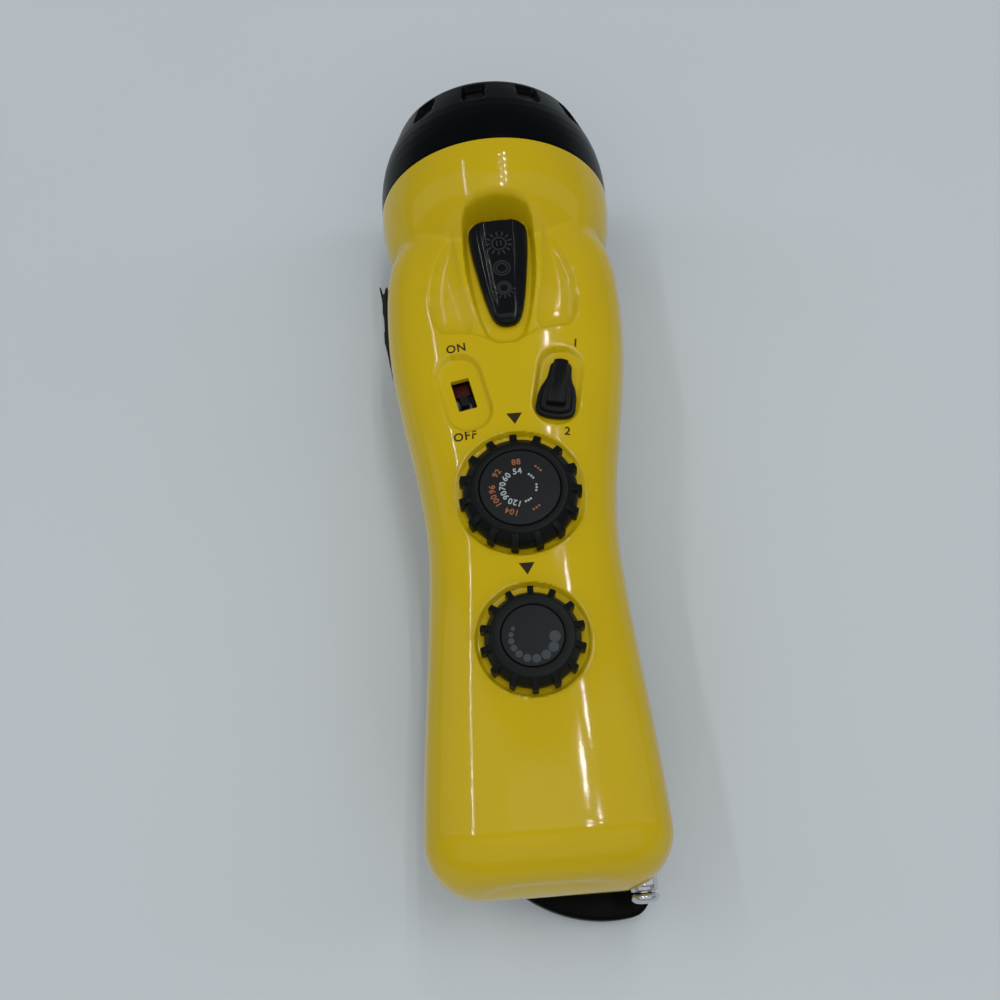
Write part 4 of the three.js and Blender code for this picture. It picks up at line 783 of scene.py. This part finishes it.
def build_back_shell():
    bm = build_skin(False)
    for x, y in SCREWS:
        cut_opening(bm, ring_points(row(x, y, 12), 2.6, DOWN, 28), DOWN, 7.2, True)
    cut_opening(bm, ring_points(row(0, HUB_PLACE, 11), 4.9, DOWN, 40), DOWN, 3)
    for i in range(GRILLE_SLOTS):
        offset = (i - 3) * GRILLE_PITCH
        half = sqrt(GRILLE_RADIUS ** 2 - offset ** 2) - 0.7
        cut_opening(bm, slot_points(
            0, GRILLE_PLACE + offset, half, 0.7, 0.69, lambda x, y: row(x, y, 11),
        ), DOWN, 2.6)
    cut_shared(bm)
    turn_edge_in(bm)
    piece("back_shell_skin", bm, yellow_shell, "casing", ["back_shell"])


# Bezel

POCKETS, POCKET_TURN, POCKET_PLACE = 12, radians(7), 196.1
POCKET_ACROSS, POCKET_ALONG, POCKET_CORNER, POCKET_DEPTH = 1.6, 2.2, 1.25, 1.3
DOME = [
    (30.6, 177.35), (30.95, 177.5), (31, 177.9), (31, 180.5), (30.95, 183), (30.7, 186),
    (30.2, 189), (29.4, 192), (28.5, 194.6), (27.7, 196.8), (27, 198.6), (26.5, 199.9),
    (26.1, 200.8), (25.6, 201.4), (25, 201.6), (24.2, 201.55), (23.7, 201.2), (23.6, 200.4),
    (23.6, 199.6),
]
DOME_INSIDE = [(25.3, 199.55), (25.3, 193), (28.7, 185), (28.7, 177.35), (30.6, 177.35)]


def rounded_path(corners, radius, steps=4):
    """A profile with its inner corners rounded off."""
    points = [corners[0]]
    for before, corner, after in zip(corners, corners[1:], corners[2:]):
        corner = Vector(corner)
        to_before, to_after = Vector(before) - corner, Vector(after) - corner
        cut = min(radius, to_before.length / 2, to_after.length / 2)
        start = corner + to_before.normalized() * cut
        end = corner + to_after.normalized() * cut
        for i in range(steps + 1):
            t = i / steps
            points.append(tuple((1 - t) ** 2 * start + 2 * t * (1 - t) * corner + t * t * end))
    return points + [corners[-1]]


def resampled(points, pitch):
    """More points along a profile, no further apart than the pitch."""
    dense = [points[0]]
    for (ax, ay), (bx, by) in zip(points, points[1:]):
        count = max(1, round(sqrt((bx - ax) ** 2 + (by - ay) ** 2) / pitch))
        shares = [i / count for i in range(1, count + 1)]
        dense += [(ax + (bx - ax) * share, ay + (by - ay) * share) for share in shares]
    return dense


def build_bezel():
    bm = bmesh.new()
    profile = resampled(DOME, 0.42) + DOME_INSIDE
    points = [row(0, place, HEAD_AXIS + radius) for radius, place in profile]
    spin(bm, points, row(0, 0, HEAD_AXIS), (0, 1, 0), 480)
    weld(bm, 0.01)
    pitch = 2 * pi / POCKETS
    for v in bm.verts:
        flat = Vector((v.co.x, v.co.z - HEAD_AXIS * MM))
        radius, place = flat.length / MM, v.co.y / MM - TAIL
        if radius < 26 or place < 189 or place > 200.8:
            continue
        angle = atan2(flat.x, flat.y)
        turn = (angle + POCKET_TURN + pitch / 2) % pitch - pitch / 2
        across = max(abs(turn) * radius - POCKET_ACROSS, 0)
        along = max(abs(place - POCKET_PLACE) - POCKET_ALONG, 0)
        depth = POCKET_CORNER - sqrt(across ** 2 + along ** 2)
        sunk = POCKET_DEPTH * float(smooth(depth / 0.75 + 0.5))
        if sunk:
            inward = Vector((flat.x, 0, flat.y)).normalized() * 0.9 + Vector((0, 0.43, 0))
            v.co -= inward * sunk * MM
    face_out(bm)
    piece("bezel_dome", bm, satin_bezel, "casing", ["bezel_ring"])


# Dials

DIAL_TOP, DIAL_BOTTOM, DIAL_BORE = 54.2, 48.9, 3.3
LABEL_TOP = DIAL_TOP - 0.03
ORANGE_RADIUS, PALE_RADIUS, PALE_DOT_RADIUS = 6.15, 3.85, 3.7
ORANGE_FIGURES = (("88", 94), ("92", 143), ("96", 181), ("100", 208), ("104", 249))
PALE_FIGURES = (("54", 95), ("60", 137), ("70", 173), ("90", 206), ("120", 249))
ORANGE_DOTS = (37, 44, 51, 295, 302, 309)
PALE_DOTS = (-17, -6, 5, 33, 43, 53, 286, 296, 306)
VOLUME_DOTS = (  # x, y from the dial's middle, radius
    (-4.2, 1.7, 0.48), (-4.7, 0.4, 0.57), (-4.75, -1, 0.66), (-4.3, -2.5, 0.72),
    (-3.25, -3.85, 0.78), (-1.6, -4.8, 0.85), (0.4, -5.05, 0.94), (2.5, -4.35, 1.02),
    (4.25, -2.85, 1.12), (4.75, -0.6, 1.22),
)


def build_rib(start, end, width, turn, place):
    """One grip rib of a dial, which slopes down to its outer end."""
    top, bottom = DIAL_TOP - 0.75, DIAL_BOTTOM + 0.2
    rib = cube(end - start, width, top - bottom)
    for v in rib.verts:
        if v.co.z > 0:
            v.co.z += (-0.55 if v.co.x > 0 else 0.6) * MM
    round_edges(rib, rib.edges, 0.2)
    middle = Vector(((start + end) / 2, 0, (top + bottom) / 2)) * MM
    bmesh.ops.translate(rib, verts=rib.verts, vec=middle)
    bmesh.ops.rotate(rib, verts=rib.verts, matrix=Matrix.Rotation(turn, 3, "Z"))
    bmesh.ops.translate(rib, verts=rib.verts, vec=row(0, place, 0))
    return rib


def build_dial(
    name, place, radius, rib_radius, shoulder, ribs, first_rib, label_radius, prints,
):
    bm = bmesh.new()
    top, bottom = DIAL_TOP, DIAL_BOTTOM
    rim = rounded_path([
        (radius - 0.5, bottom), (radius - 0.15, bottom + 0.5), (radius - 0.15, top - 2.7),
        (radius - 0.6, top - 1.6), (radius - shoulder, top), (label_radius + 0.25, top),
        (label_radius + 0.15, top - 0.5), (label_radius - 1, top - 0.5),
    ], 0.35)
    profile = [(DIAL_BORE, bottom)] + rim + [(DIAL_BORE, top - 0.5), (DIAL_BORE, bottom)]
    ring_upright(bm, 0, place, profile)
    close_mesh(bm)
    for i in range(ribs):
        turn = radians(first_rib) + 2 * pi * i / ribs
        start = radius - shoulder - 0.1
        add_mesh(bm, build_rib(start, rib_radius, 0.13 * radius, turn, place))
    body = name + "_dial"
    piece(name + "_knob", bm, rubbery_dial, body, [body], 30)
    disc = bmesh.new()
    ring_upright(disc, 0, place, rounded_path([
        (0.001, top - 0.45), (label_radius, top - 0.45), (label_radius, LABEL_TOP),
        (0.001, LABEL_TOP),
    ], 0.12), 128)
    close_mesh(disc)
    piece(name + "_label_disc", disc, label_print, body, [name + "_label"])
    for colour, mesh in prints.items():
        piece(f"{name}_print_{colour}", mesh, inks_and_highlight[colour], body)


def lettering(bm, text, x, y, z, turn, height, thickness=0.05):
    """Generic figures as raised print, middle on a place, tops along a turn in degrees."""
    letters = bpy.data.curves.new("lettering", "FONT")
    letters.body = text
    letters.align_x = "CENTER"
    letters.align_y = "CENTER"
    letters.size = height / 0.72 * MM
    letters.extrude = thickness / 2 * MM
    letters.offset = 0.03 * MM * height
    letters.space_character = 1.12
    letters.resolution_u = 4
    holder = bpy.data.objects.new("lettering", letters)
    mesh = bpy.data.meshes.new_from_object(holder)
    bpy.data.objects.remove(holder)
    mesh.transform(
        Matrix.Translation(row(x, y, z + thickness / 2)) @ Matrix.Rotation(radians(turn), 4, "Z")
    )
    bm.from_mesh(mesh)
    bpy.data.meshes.remove(mesh)


def dot(bm, x, y, radius, steps=24, thickness=0.05):
    """A round spot of print on a dial's label."""
    made = bmesh.ops.create_cone(
        bm, cap_ends=True, segments=steps, radius1=radius * MM, radius2=radius * MM,
        depth=thickness * MM,
    )["verts"]
    bmesh.ops.translate(bm, verts=made, vec=row(x, y, LABEL_TOP + thickness / 2))


def round_tuning(radius, angle):
    """A place on the tuning dial, at an angle in degrees."""
    return radius * cos(radians(angle)), TUNING + radius * sin(radians(angle))


def build_dials():
    orange, pale, grey = bmesh.new(), bmesh.new(), bmesh.new()
    for bm, radius, figures in (
        (orange, ORANGE_RADIUS, ORANGE_FIGURES), (pale, PALE_RADIUS, PALE_FIGURES),
    ):
        for text, angle in figures:
            lettering(bm, text, *round_tuning(radius, angle), LABEL_TOP, angle - 90, 1.4)
    for bm, radius, angles in (
        (orange, ORANGE_RADIUS, ORANGE_DOTS), (pale, PALE_DOT_RADIUS, PALE_DOTS),
    ):
        for angle in angles:
            dot(bm, *round_tuning(radius, angle), 0.26)
    for x, y, radius in VOLUME_DOTS:
        dot(grey, x * 0.97, VOLUME + y, radius, 32)
    build_dial("tuning", TUNING, 13.2, 13.9, 2.3, 15, 92.6, 9.0, {"orange": orange, "pale": pale})
    build_dial("volume", VOLUME, 10.5, 11.4, 1.45, 14, 88.3, 6.6, {"grey": grey})


# Light slider

SLIDER_TILT, SLIDER_PIVOT = radians(1.6), row(0, 152, 0)
SLIDER_TIP, SLIDER_HEAD, HEAD_CROWN = 129.3, 157.2, 1.5
SLIDER_BOTTOM, SLIDER_TIP_HEIGHT, SLIDER_RISE, SLIDER_LENGTH = 49.5, 51.9, 2.1, 28.7
SLIDER_FLAT = 0.52
SLIDER_HALF = [
    (129.3, 0), (129.4, 1.1), (129.75, 2.0), (130.5, 2.85), (131.6, 3.55), (133.5, 4.25),
    (137, 5.05), (141, 5.75), (145, 6.35), (149, 6.95), (153, 7.35), (155.5, 7.45),
    (156.6, 7.3), (157.2, 6.9),
]
SUN_PLACE, RING_PLACE, LOW_SUN_PLACE = 151.2, 144.2, 138.6


def slider_top(y):
    """The height of the slider's flat top band."""
    end = np.clip((132.9 - y) / 3.6, 0, 1)
    head = np.clip((y - 157.6) / 1.0, 0, 1)
    slope = SLIDER_TIP_HEIGHT + SLIDER_RISE * (y - SLIDER_TIP) / SLIDER_LENGTH
    return slope - 1.5 * (1 - np.sqrt(1 - end ** 2)) - 0.5 * head ** 2


def build_slider():
    places, halves = zip(*SLIDER_HALF)
    along = np.concatenate([
        np.linspace(0, 0.16, 24)[:-1], np.linspace(0.16, 0.94, 56),
        np.linspace(0.94, 1, 10)[1:],
    ])
    t, s = np.meshgrid(along, np.linspace(-1, 1, 65), indexing="ij")
    head = SLIDER_HEAD + HEAD_CROWN * (1 - abs(s) ** 2.4)
    y = SLIDER_TIP + t * (head - SLIDER_TIP)
    x = s * np.interp(SLIDER_TIP + t * (SLIDER_HEAD - SLIDER_TIP), places, halves)
    shoulder = np.clip((abs(s) - SLIDER_FLAT) / (1 - SLIDER_FLAT), 0, 1)
    drop = 1 - np.sqrt(np.clip(1 - shoulder ** 2.2, 0, 1))
    ridge = 0.12 * np.exp(-((abs(s) - SLIDER_FLAT) / 0.05) ** 2)
    top = slider_top(y)
    z = top - drop * (top - SLIDER_BOTTOM - 0.5) * 0.62 + ridge * smooth((y - 133) / 4)
    z = z - 0.35 * smooth((t - 0.965) / 0.035)
    bm = sheet(x, y, z)
    weld(bm, 0.01)
    edge = [e for e in bm.edges if e.is_boundary]
    made = bmesh.ops.extrude_edge_only(bm, edges=edge)["geom"]
    for v in verts_of(made):
        v.co.z = SLIDER_BOTTOM * MM
    bmesh.ops.edgeloop_fill(bm, edges=edges_of(made))
    face_out(bm)
    marks = slider_marks()
    turn = Matrix.Translation(SLIDER_PIVOT) @ Matrix.Rotation(SLIDER_TILT, 4, "Z")
    turn = turn @ Matrix.Translation(-SLIDER_PIVOT)
    bm.transform(turn)
    marks.transform(turn)
    # The marks are a lighter grey than the slider: painted highlight on their raised edges.
    piece("light_slider_marks", marks, inks_and_highlight["mark"], "light_slider")
    piece("light_slider_cap", bm, gloss_slider, "light_slider", ["light_slider"], 28)


def settle_on_slider(bm, x, y):
    """Moves small raised work, made about the tail's middle, onto the slider's slope."""
    base = row(0, 0, 0)
    for v in bm.verts:
        local = v.co - base
        px, py = local.x / MM + x, local.y / MM + y
        v.co = row(px, py, local.z / MM + float(slider_top(py)))


def raised_ring(bm, x, y, radius, tube=0.2):
    """A thin raised ring on the slider's slope."""
    ring = bmesh.new()
    ring_upright(ring, 0, 0, tube_profile(radius, tube), 40)
    weld(ring, 0.001)
    settle_on_slider(ring, x, y)
    add_mesh(bm, ring)


def raised_bar(bm, x, y, turn, start, length, width, height=0.22):
    """A small raised bar that points away from a place on the slider."""
    bar = cube(length, width, 2 * height)
    round_edges(bar, bar.edges, 0.07, 1)
    bmesh.ops.translate(bar, verts=bar.verts, vec=((start + length / 2) * MM, 0, 0))
    bmesh.ops.rotate(bar, verts=bar.verts, matrix=Matrix.Rotation(turn, 3, "Z"))
    bmesh.ops.translate(bar, verts=bar.verts, vec=row(0, 0, 0))
    settle_on_slider(bar, x, y)
    add_mesh(bm, bar)


def slider_marks():
    """A sun with two strokes, a double ring, and a smaller sun with rays on one side."""
    bm = bmesh.new()
    raised_ring(bm, 0, SUN_PLACE, 1.75)
    for side in (-0.5, 0.5):
        raised_bar(bm, side, SUN_PLACE - 0.75, pi / 2, 0, 1.5, 0.36)
    for i in range(13):
        raised_bar(bm, 0, SUN_PLACE, 2 * pi * (i + 0.5) / 13, 2.25, 1.15, 0.42)
    for place, radius in (
        (RING_PLACE, 1.3), (RING_PLACE, 2.0), (LOW_SUN_PLACE, 1.15), (LOW_SUN_PLACE, 1.7),
    ):
        raised_ring(bm, 0, place, radius)
    for i in range(7):
        raised_bar(bm, 0, LOW_SUN_PLACE, pi + pi * (i + 0.5) / 7, 2.05, 0.95, 0.36)
    return bm


# Switches

CAP_BOTTOM, GRIP_TOP = 48.65, 3.8
CAP_LAYERS = (  # how far the outline grows, height over the cap's bottom
    (-0.15, 0), (0, 0.2), (0, 1.1), (-0.25, 1.35), (-0.85, 1.4), (-1.0, 1.6), (-1.1, 2.1),
    (-1.35, 2.3),
)
GRIP_LAYERS = ((0, 2.1), (-0.1, 3.5), (-0.16, 3.7), (-0.32, GRIP_TOP))


def bottle_outline(grow):
    """The band switch cap's half outline, like a short bottle, grown by a margin."""
    low, high = -8.9 - grow, 6.5 + grow
    waist = [(w + grow, v) for w, v in (
        (4.7, -6.2), (4.6, -3.2), (4.1, -1.0), (3.1, 1.2), (2.8, 2.4),
    )]
    bottom = curve((0, low), (4.7 + grow, low), (4.7 + grow, -6.2), 8)
    top = curve((2.65 + grow, 4.2), (2.65 + grow, high), (0, high), 6)
    return bottom + waist + top + [(0, high)]


def grip_outline(grow):
    """The half outline of the raised grip along the cap, wider at its tail end."""
    return [
        (0, -6.2 - grow), (1.9 + grow, -6.2 - grow), (2.3 + grow, -5.9), (2.25 + grow, -4),
        (2.0 + grow, 0), (1.8 + grow, 5.2), (1.4 + grow, 5.6 + grow), (0, 5.8 + grow),
    ]


def on_cap(u, v, height):
    return row(*leaned(u, v, 1), CAP_BOTTOM + height)


def layered(bm, outline, layers):
    """A closed stack of one outline's grown forms, each at its own height."""
    loops = []
    for grow, height in layers:
        verts = [bm.verts.new(on_cap(u, v, height)) for u, v in mirrored(outline(grow))]
        loops.append([bm.edges.new(pair) for pair in zip(verts, verts[1:] + verts[:1])])
    for low, high in zip(loops, loops[1:]):
        bmesh.ops.bridge_loops(bm, edges=low + high)
    for loop in (loops[0], loops[-1]):
        bmesh.ops.edgeloop_fill(bm, edges=loop)
    face_out(bm)


def build_band_cap():
    bm, grip, oval = bmesh.new(), bmesh.new(), bmesh.new()
    layered(bm, bottle_outline, CAP_LAYERS)
    layered(grip, grip_outline, GRIP_LAYERS)
    add_mesh(bm, grip)
    ring_upright(oval, 0, 0, tube_profile(0.62, 0.14), 28)
    weld(oval, 0.001)
    base = row(0, 0, 0)
    for v in oval.verts:
        local = (v.co - base) / MM
        v.co = on_cap(local.x * 0.9, local.y * 1.7 - 0.3, local.z + GRIP_TOP)
    add_mesh(bm, oval)
    piece(
        "band_switch_button", bm, switch_plastic, "band_switch", ["band_switch_cap"],
        32,
    )


def build_function_inside():
    """The dark red wafer beside the bare lever, and the lever's shoulder."""
    for name, material, size, u, v, height in (
        ("function_switch_wafer", red_wafer, (4.1, 3.2, 0.6), -0.1, 2.4, 45.6),
        ("function_switch_stub", gloss_slider, (2.6, 3.6, 2.4), 0.35, -2.2, 45.9),
    ):
        bm = cube(*size)
        round_edges(bm, bm.edges, 0.2)
        bmesh.ops.rotate(bm, verts=bm.verts, matrix=Matrix.Rotation(RECESS_LEAN, 3, "Z"))
        bmesh.ops.translate(bm, verts=bm.verts, vec=row(*leaned(u, v, -1), height))
        piece(name, bm, material, "function_switch")


# Crank arm

HUB_RADIUS, HUB_SWEEP = 14, radians(19.2)
ARC_X, ARC_Y, ARC_RADIUS = 13.5, 28, 33
ARM_THICKNESS, BOSS_RADIUS, BOSS_TOP = 8, 6, 9.9


def arm_outline():
    """The arm from above: a round hub, and a wide end that shows past the tail."""
    def on_arc(angle):
        return ARC_X + ARC_RADIUS * cos(angle), ARC_Y + ARC_RADIUS * sin(angle)

    left, right = (-acos((x - ARC_X) / ARC_RADIUS) for x in (-9.5, 18.5))
    turns = [HUB_SWEEP + (pi - HUB_SWEEP) * i / 40 for i in range(41)]
    hub = [(HUB_RADIUS * cos(a), HUB_PLACE + HUB_RADIUS * sin(a)) for a in turns]
    end = [on_arc(left + (right - left) * i / 40) for i in range(41)]
    corner_y = on_arc(right)[1]
    side = curve((-14, 66), (-14, 33), (-13, 15.5), 16)
    return (
        hub[:-1] + side[:-1] + curve((-13, 15.5), (-13, on_arc(left)[1] + 1.75), end[0], 8)[:-1]
        + end[:-1] + curve(end[-1], (23.4, corner_y + 0.9), (23.7, corner_y + 9), 10)
        + curve((23.7, 26), (20.9, 49), hub[0], 16)
    )


def build_crank_arm():
    bm = bmesh.new()
    slab(bm, [row(x, y, 0) for x, y in arm_outline()], ARM_THICKNESS)
    weld(bm, 0.05)
    round_rims(bm, 0.95, 4)
    window = slot_points(6, 24.1, 5.3, 18.5, 1.5, lambda x, y: row(x, y, 0))
    bmesh.ops.bridge_loops(bm, edges=bore(bm, window, DOWN, 9)[1])
    cut_opening(bm, ring_points(row(0, HUB_PLACE, 0), 4.3, DOWN, 40), DOWN, 1.7, True, 1)
    boss = bmesh.new()
    ring_upright(boss, 0, HUB_PLACE, [
        (3.1, 7.5), (3.1, BOSS_TOP), (5.6, BOSS_TOP), (5.88, 9.78), (BOSS_RADIUS, 9.5),
        (BOSS_RADIUS, 7.5), (3.1, 7.5),
    ], 64)
    close_mesh(boss)
    add_mesh(bm, boss)
    piece("crank_arm_moulding", bm, crank_plastic, "crank", ["crank_arm"], 30)


# Antenna

COLLAR = [
    (2.42, 0.4), (2.5, -0.05), (2.6, -0.18), (2.72, -0.2), (2.88, -0.08), (3.0, 0.25),
    (3.08, 0.8), (3.1, 1.5), (3.1, 7.8), (3.0, 8), (2.8, 8), (2.8, 59.8), (2.7, 60), (2.5, 60),
    (2.4, 59.8), (2.4, 0.8), (2.42, 0.4),
]
BEAD = [
    (0.02, -0.55), (1.9, -0.55), (2.5, -0.62), (2.88, -0.85), (3.05, -1.2), (3.05, -1.5),
    (2.9, -1.9), (2.55, -2.25), (2.0, -2.5), (1.3, -2.63), (0.7, -2.68), (0.02, -2.7),
]


def turned_on_antenna(profile):
    """Spins a profile of radius and place about the antenna's leaned axis."""
    bm = bmesh.new()
    spin(bm, [
        ANTENNA_END - ANTENNA_AXIS * (place * MM) + UP * (radius * MM)
        for radius, place in profile
    ], ANTENNA_END, ANTENNA_AXIS, 72)
    close_mesh(bm)
    return bm


def build_antenna():
    piece(
        "antenna_collar", turned_on_antenna(COLLAR), chrome, "casing", ["antenna_tube"],
        40,
    )
    piece(
        "antenna_bead", turned_on_antenna(BEAD), chrome, "antenna_section_3", ["antenna_tip"],
        50,
    )


# Port cover

FLAP_BOTTOM, FLAP_WIDTH = 24.6, 10.8
FLAP_OUTLINE = [
    (-29.95, 129.85), (-29.9, 132), (-29.9, 147.8), (-30.35, 148.6), (-30.45, 150.6),
    (-30.0, 153.4), (-30.2, 153.8), (-30.6, 153.3), (-31.0, 151.7), (-31.25, 151.6),
    (-31.7, 153.4), (-32.0, 154.0), (-32.15, 153.8), (-32.05, 152.6), (-31.7, 150.6),
    (-31.5, 148.6), (-31.5, 145.5), (-31.2, 144.8), (-31.15, 140.2), (-31.3, 139.6),
    (-31.25, 136.6), (-30.8, 135.6), (-30.4, 132.2), (-30.15, 129.9),
]


def build_port_cover():
    bm = bmesh.new()
    slab(bm, [row(x, y, FLAP_BOTTOM) for x, y in FLAP_OUTLINE], FLAP_WIDTH)
    round_rims(bm, 0.12, 2)
    piece("port_cover_flap", bm, soft_rubber, "port_cover", ["port_cover"], 25)
    hinge = cube(3.7, 2.4, FLAP_WIDTH)
    round_edges(hinge, hinge.edges, 0.3, 3)
    bmesh.ops.translate(hinge, verts=hinge.verts, vec=row(-27.9, 127.95, JACK_HEIGHT))
    piece("port_cover_hinge", hinge, soft_rubber, "casing", ["port_anchor"], 30)


# Print on the panel

PANEL_WORDS = (  # text, x, y, turn
    ("ON", -12.4, 123.9, 4), ("OFF", -11.6, 100.3, 4), ("1", 16.4, 123.2, -10),
    ("2", 12.2, 99.6, -10),
)
POINTERS = ((0.2, 105.3, 102.4, 1.85), (0.1, 68.0, 65.2, 1.75))  # x, base, tip, half width
ABOVE_ALL = 0.08


def build_panel_print(skin):
    """Generic marks by the switches, and the pointers of the dials, draped on the skin."""
    bm = bmesh.new()
    for text, x, y, turn in PANEL_WORDS:
        lettering(bm, text, x, y, PANEL - 0.02, turn, 2.1, 0.06)
    for x, base, tip, half in POINTERS:
        corners = ((x - half, base), (x, tip), (x + half, base))
        slab(bm, [row(px, py, PANEL - 0.03) for px, py in corners], 0.07)
    face_out(bm)
    for v in bm.verts:
        hit = skin.ray_cast(Vector((v.co.x, v.co.y, ABOVE_ALL)), DOWN)[0]
        if hit:
            v.co.z += hit.z - PANEL * MM
    piece("panel_print", bm, inks_and_highlight["brown"], "casing")


# Floor

def build_floor():
    bm = bmesh.new()
    bmesh.ops.create_grid(bm, x_segments=2, y_segments=2, size=3)
    finish = Finish("pale_table", linear(183, 190, 195), 0.55)
    cloud = finish.noise(6, 3)
    finish.set("Base Color", finish.mix(cloud, linear(186, 193, 198), linear(181, 188, 193)))
    table = show("table", bm, finish.material)


look_from_above()
light_scene()
dress_frame()
build_floor()
front_skin = build_front_shell()
build_back_shell()
build_bezel()
build_dials()
build_slider()
build_band_cap()
build_function_inside()
build_crank_arm()
build_antenna()
build_port_cover()
build_panel_print(front_skin)
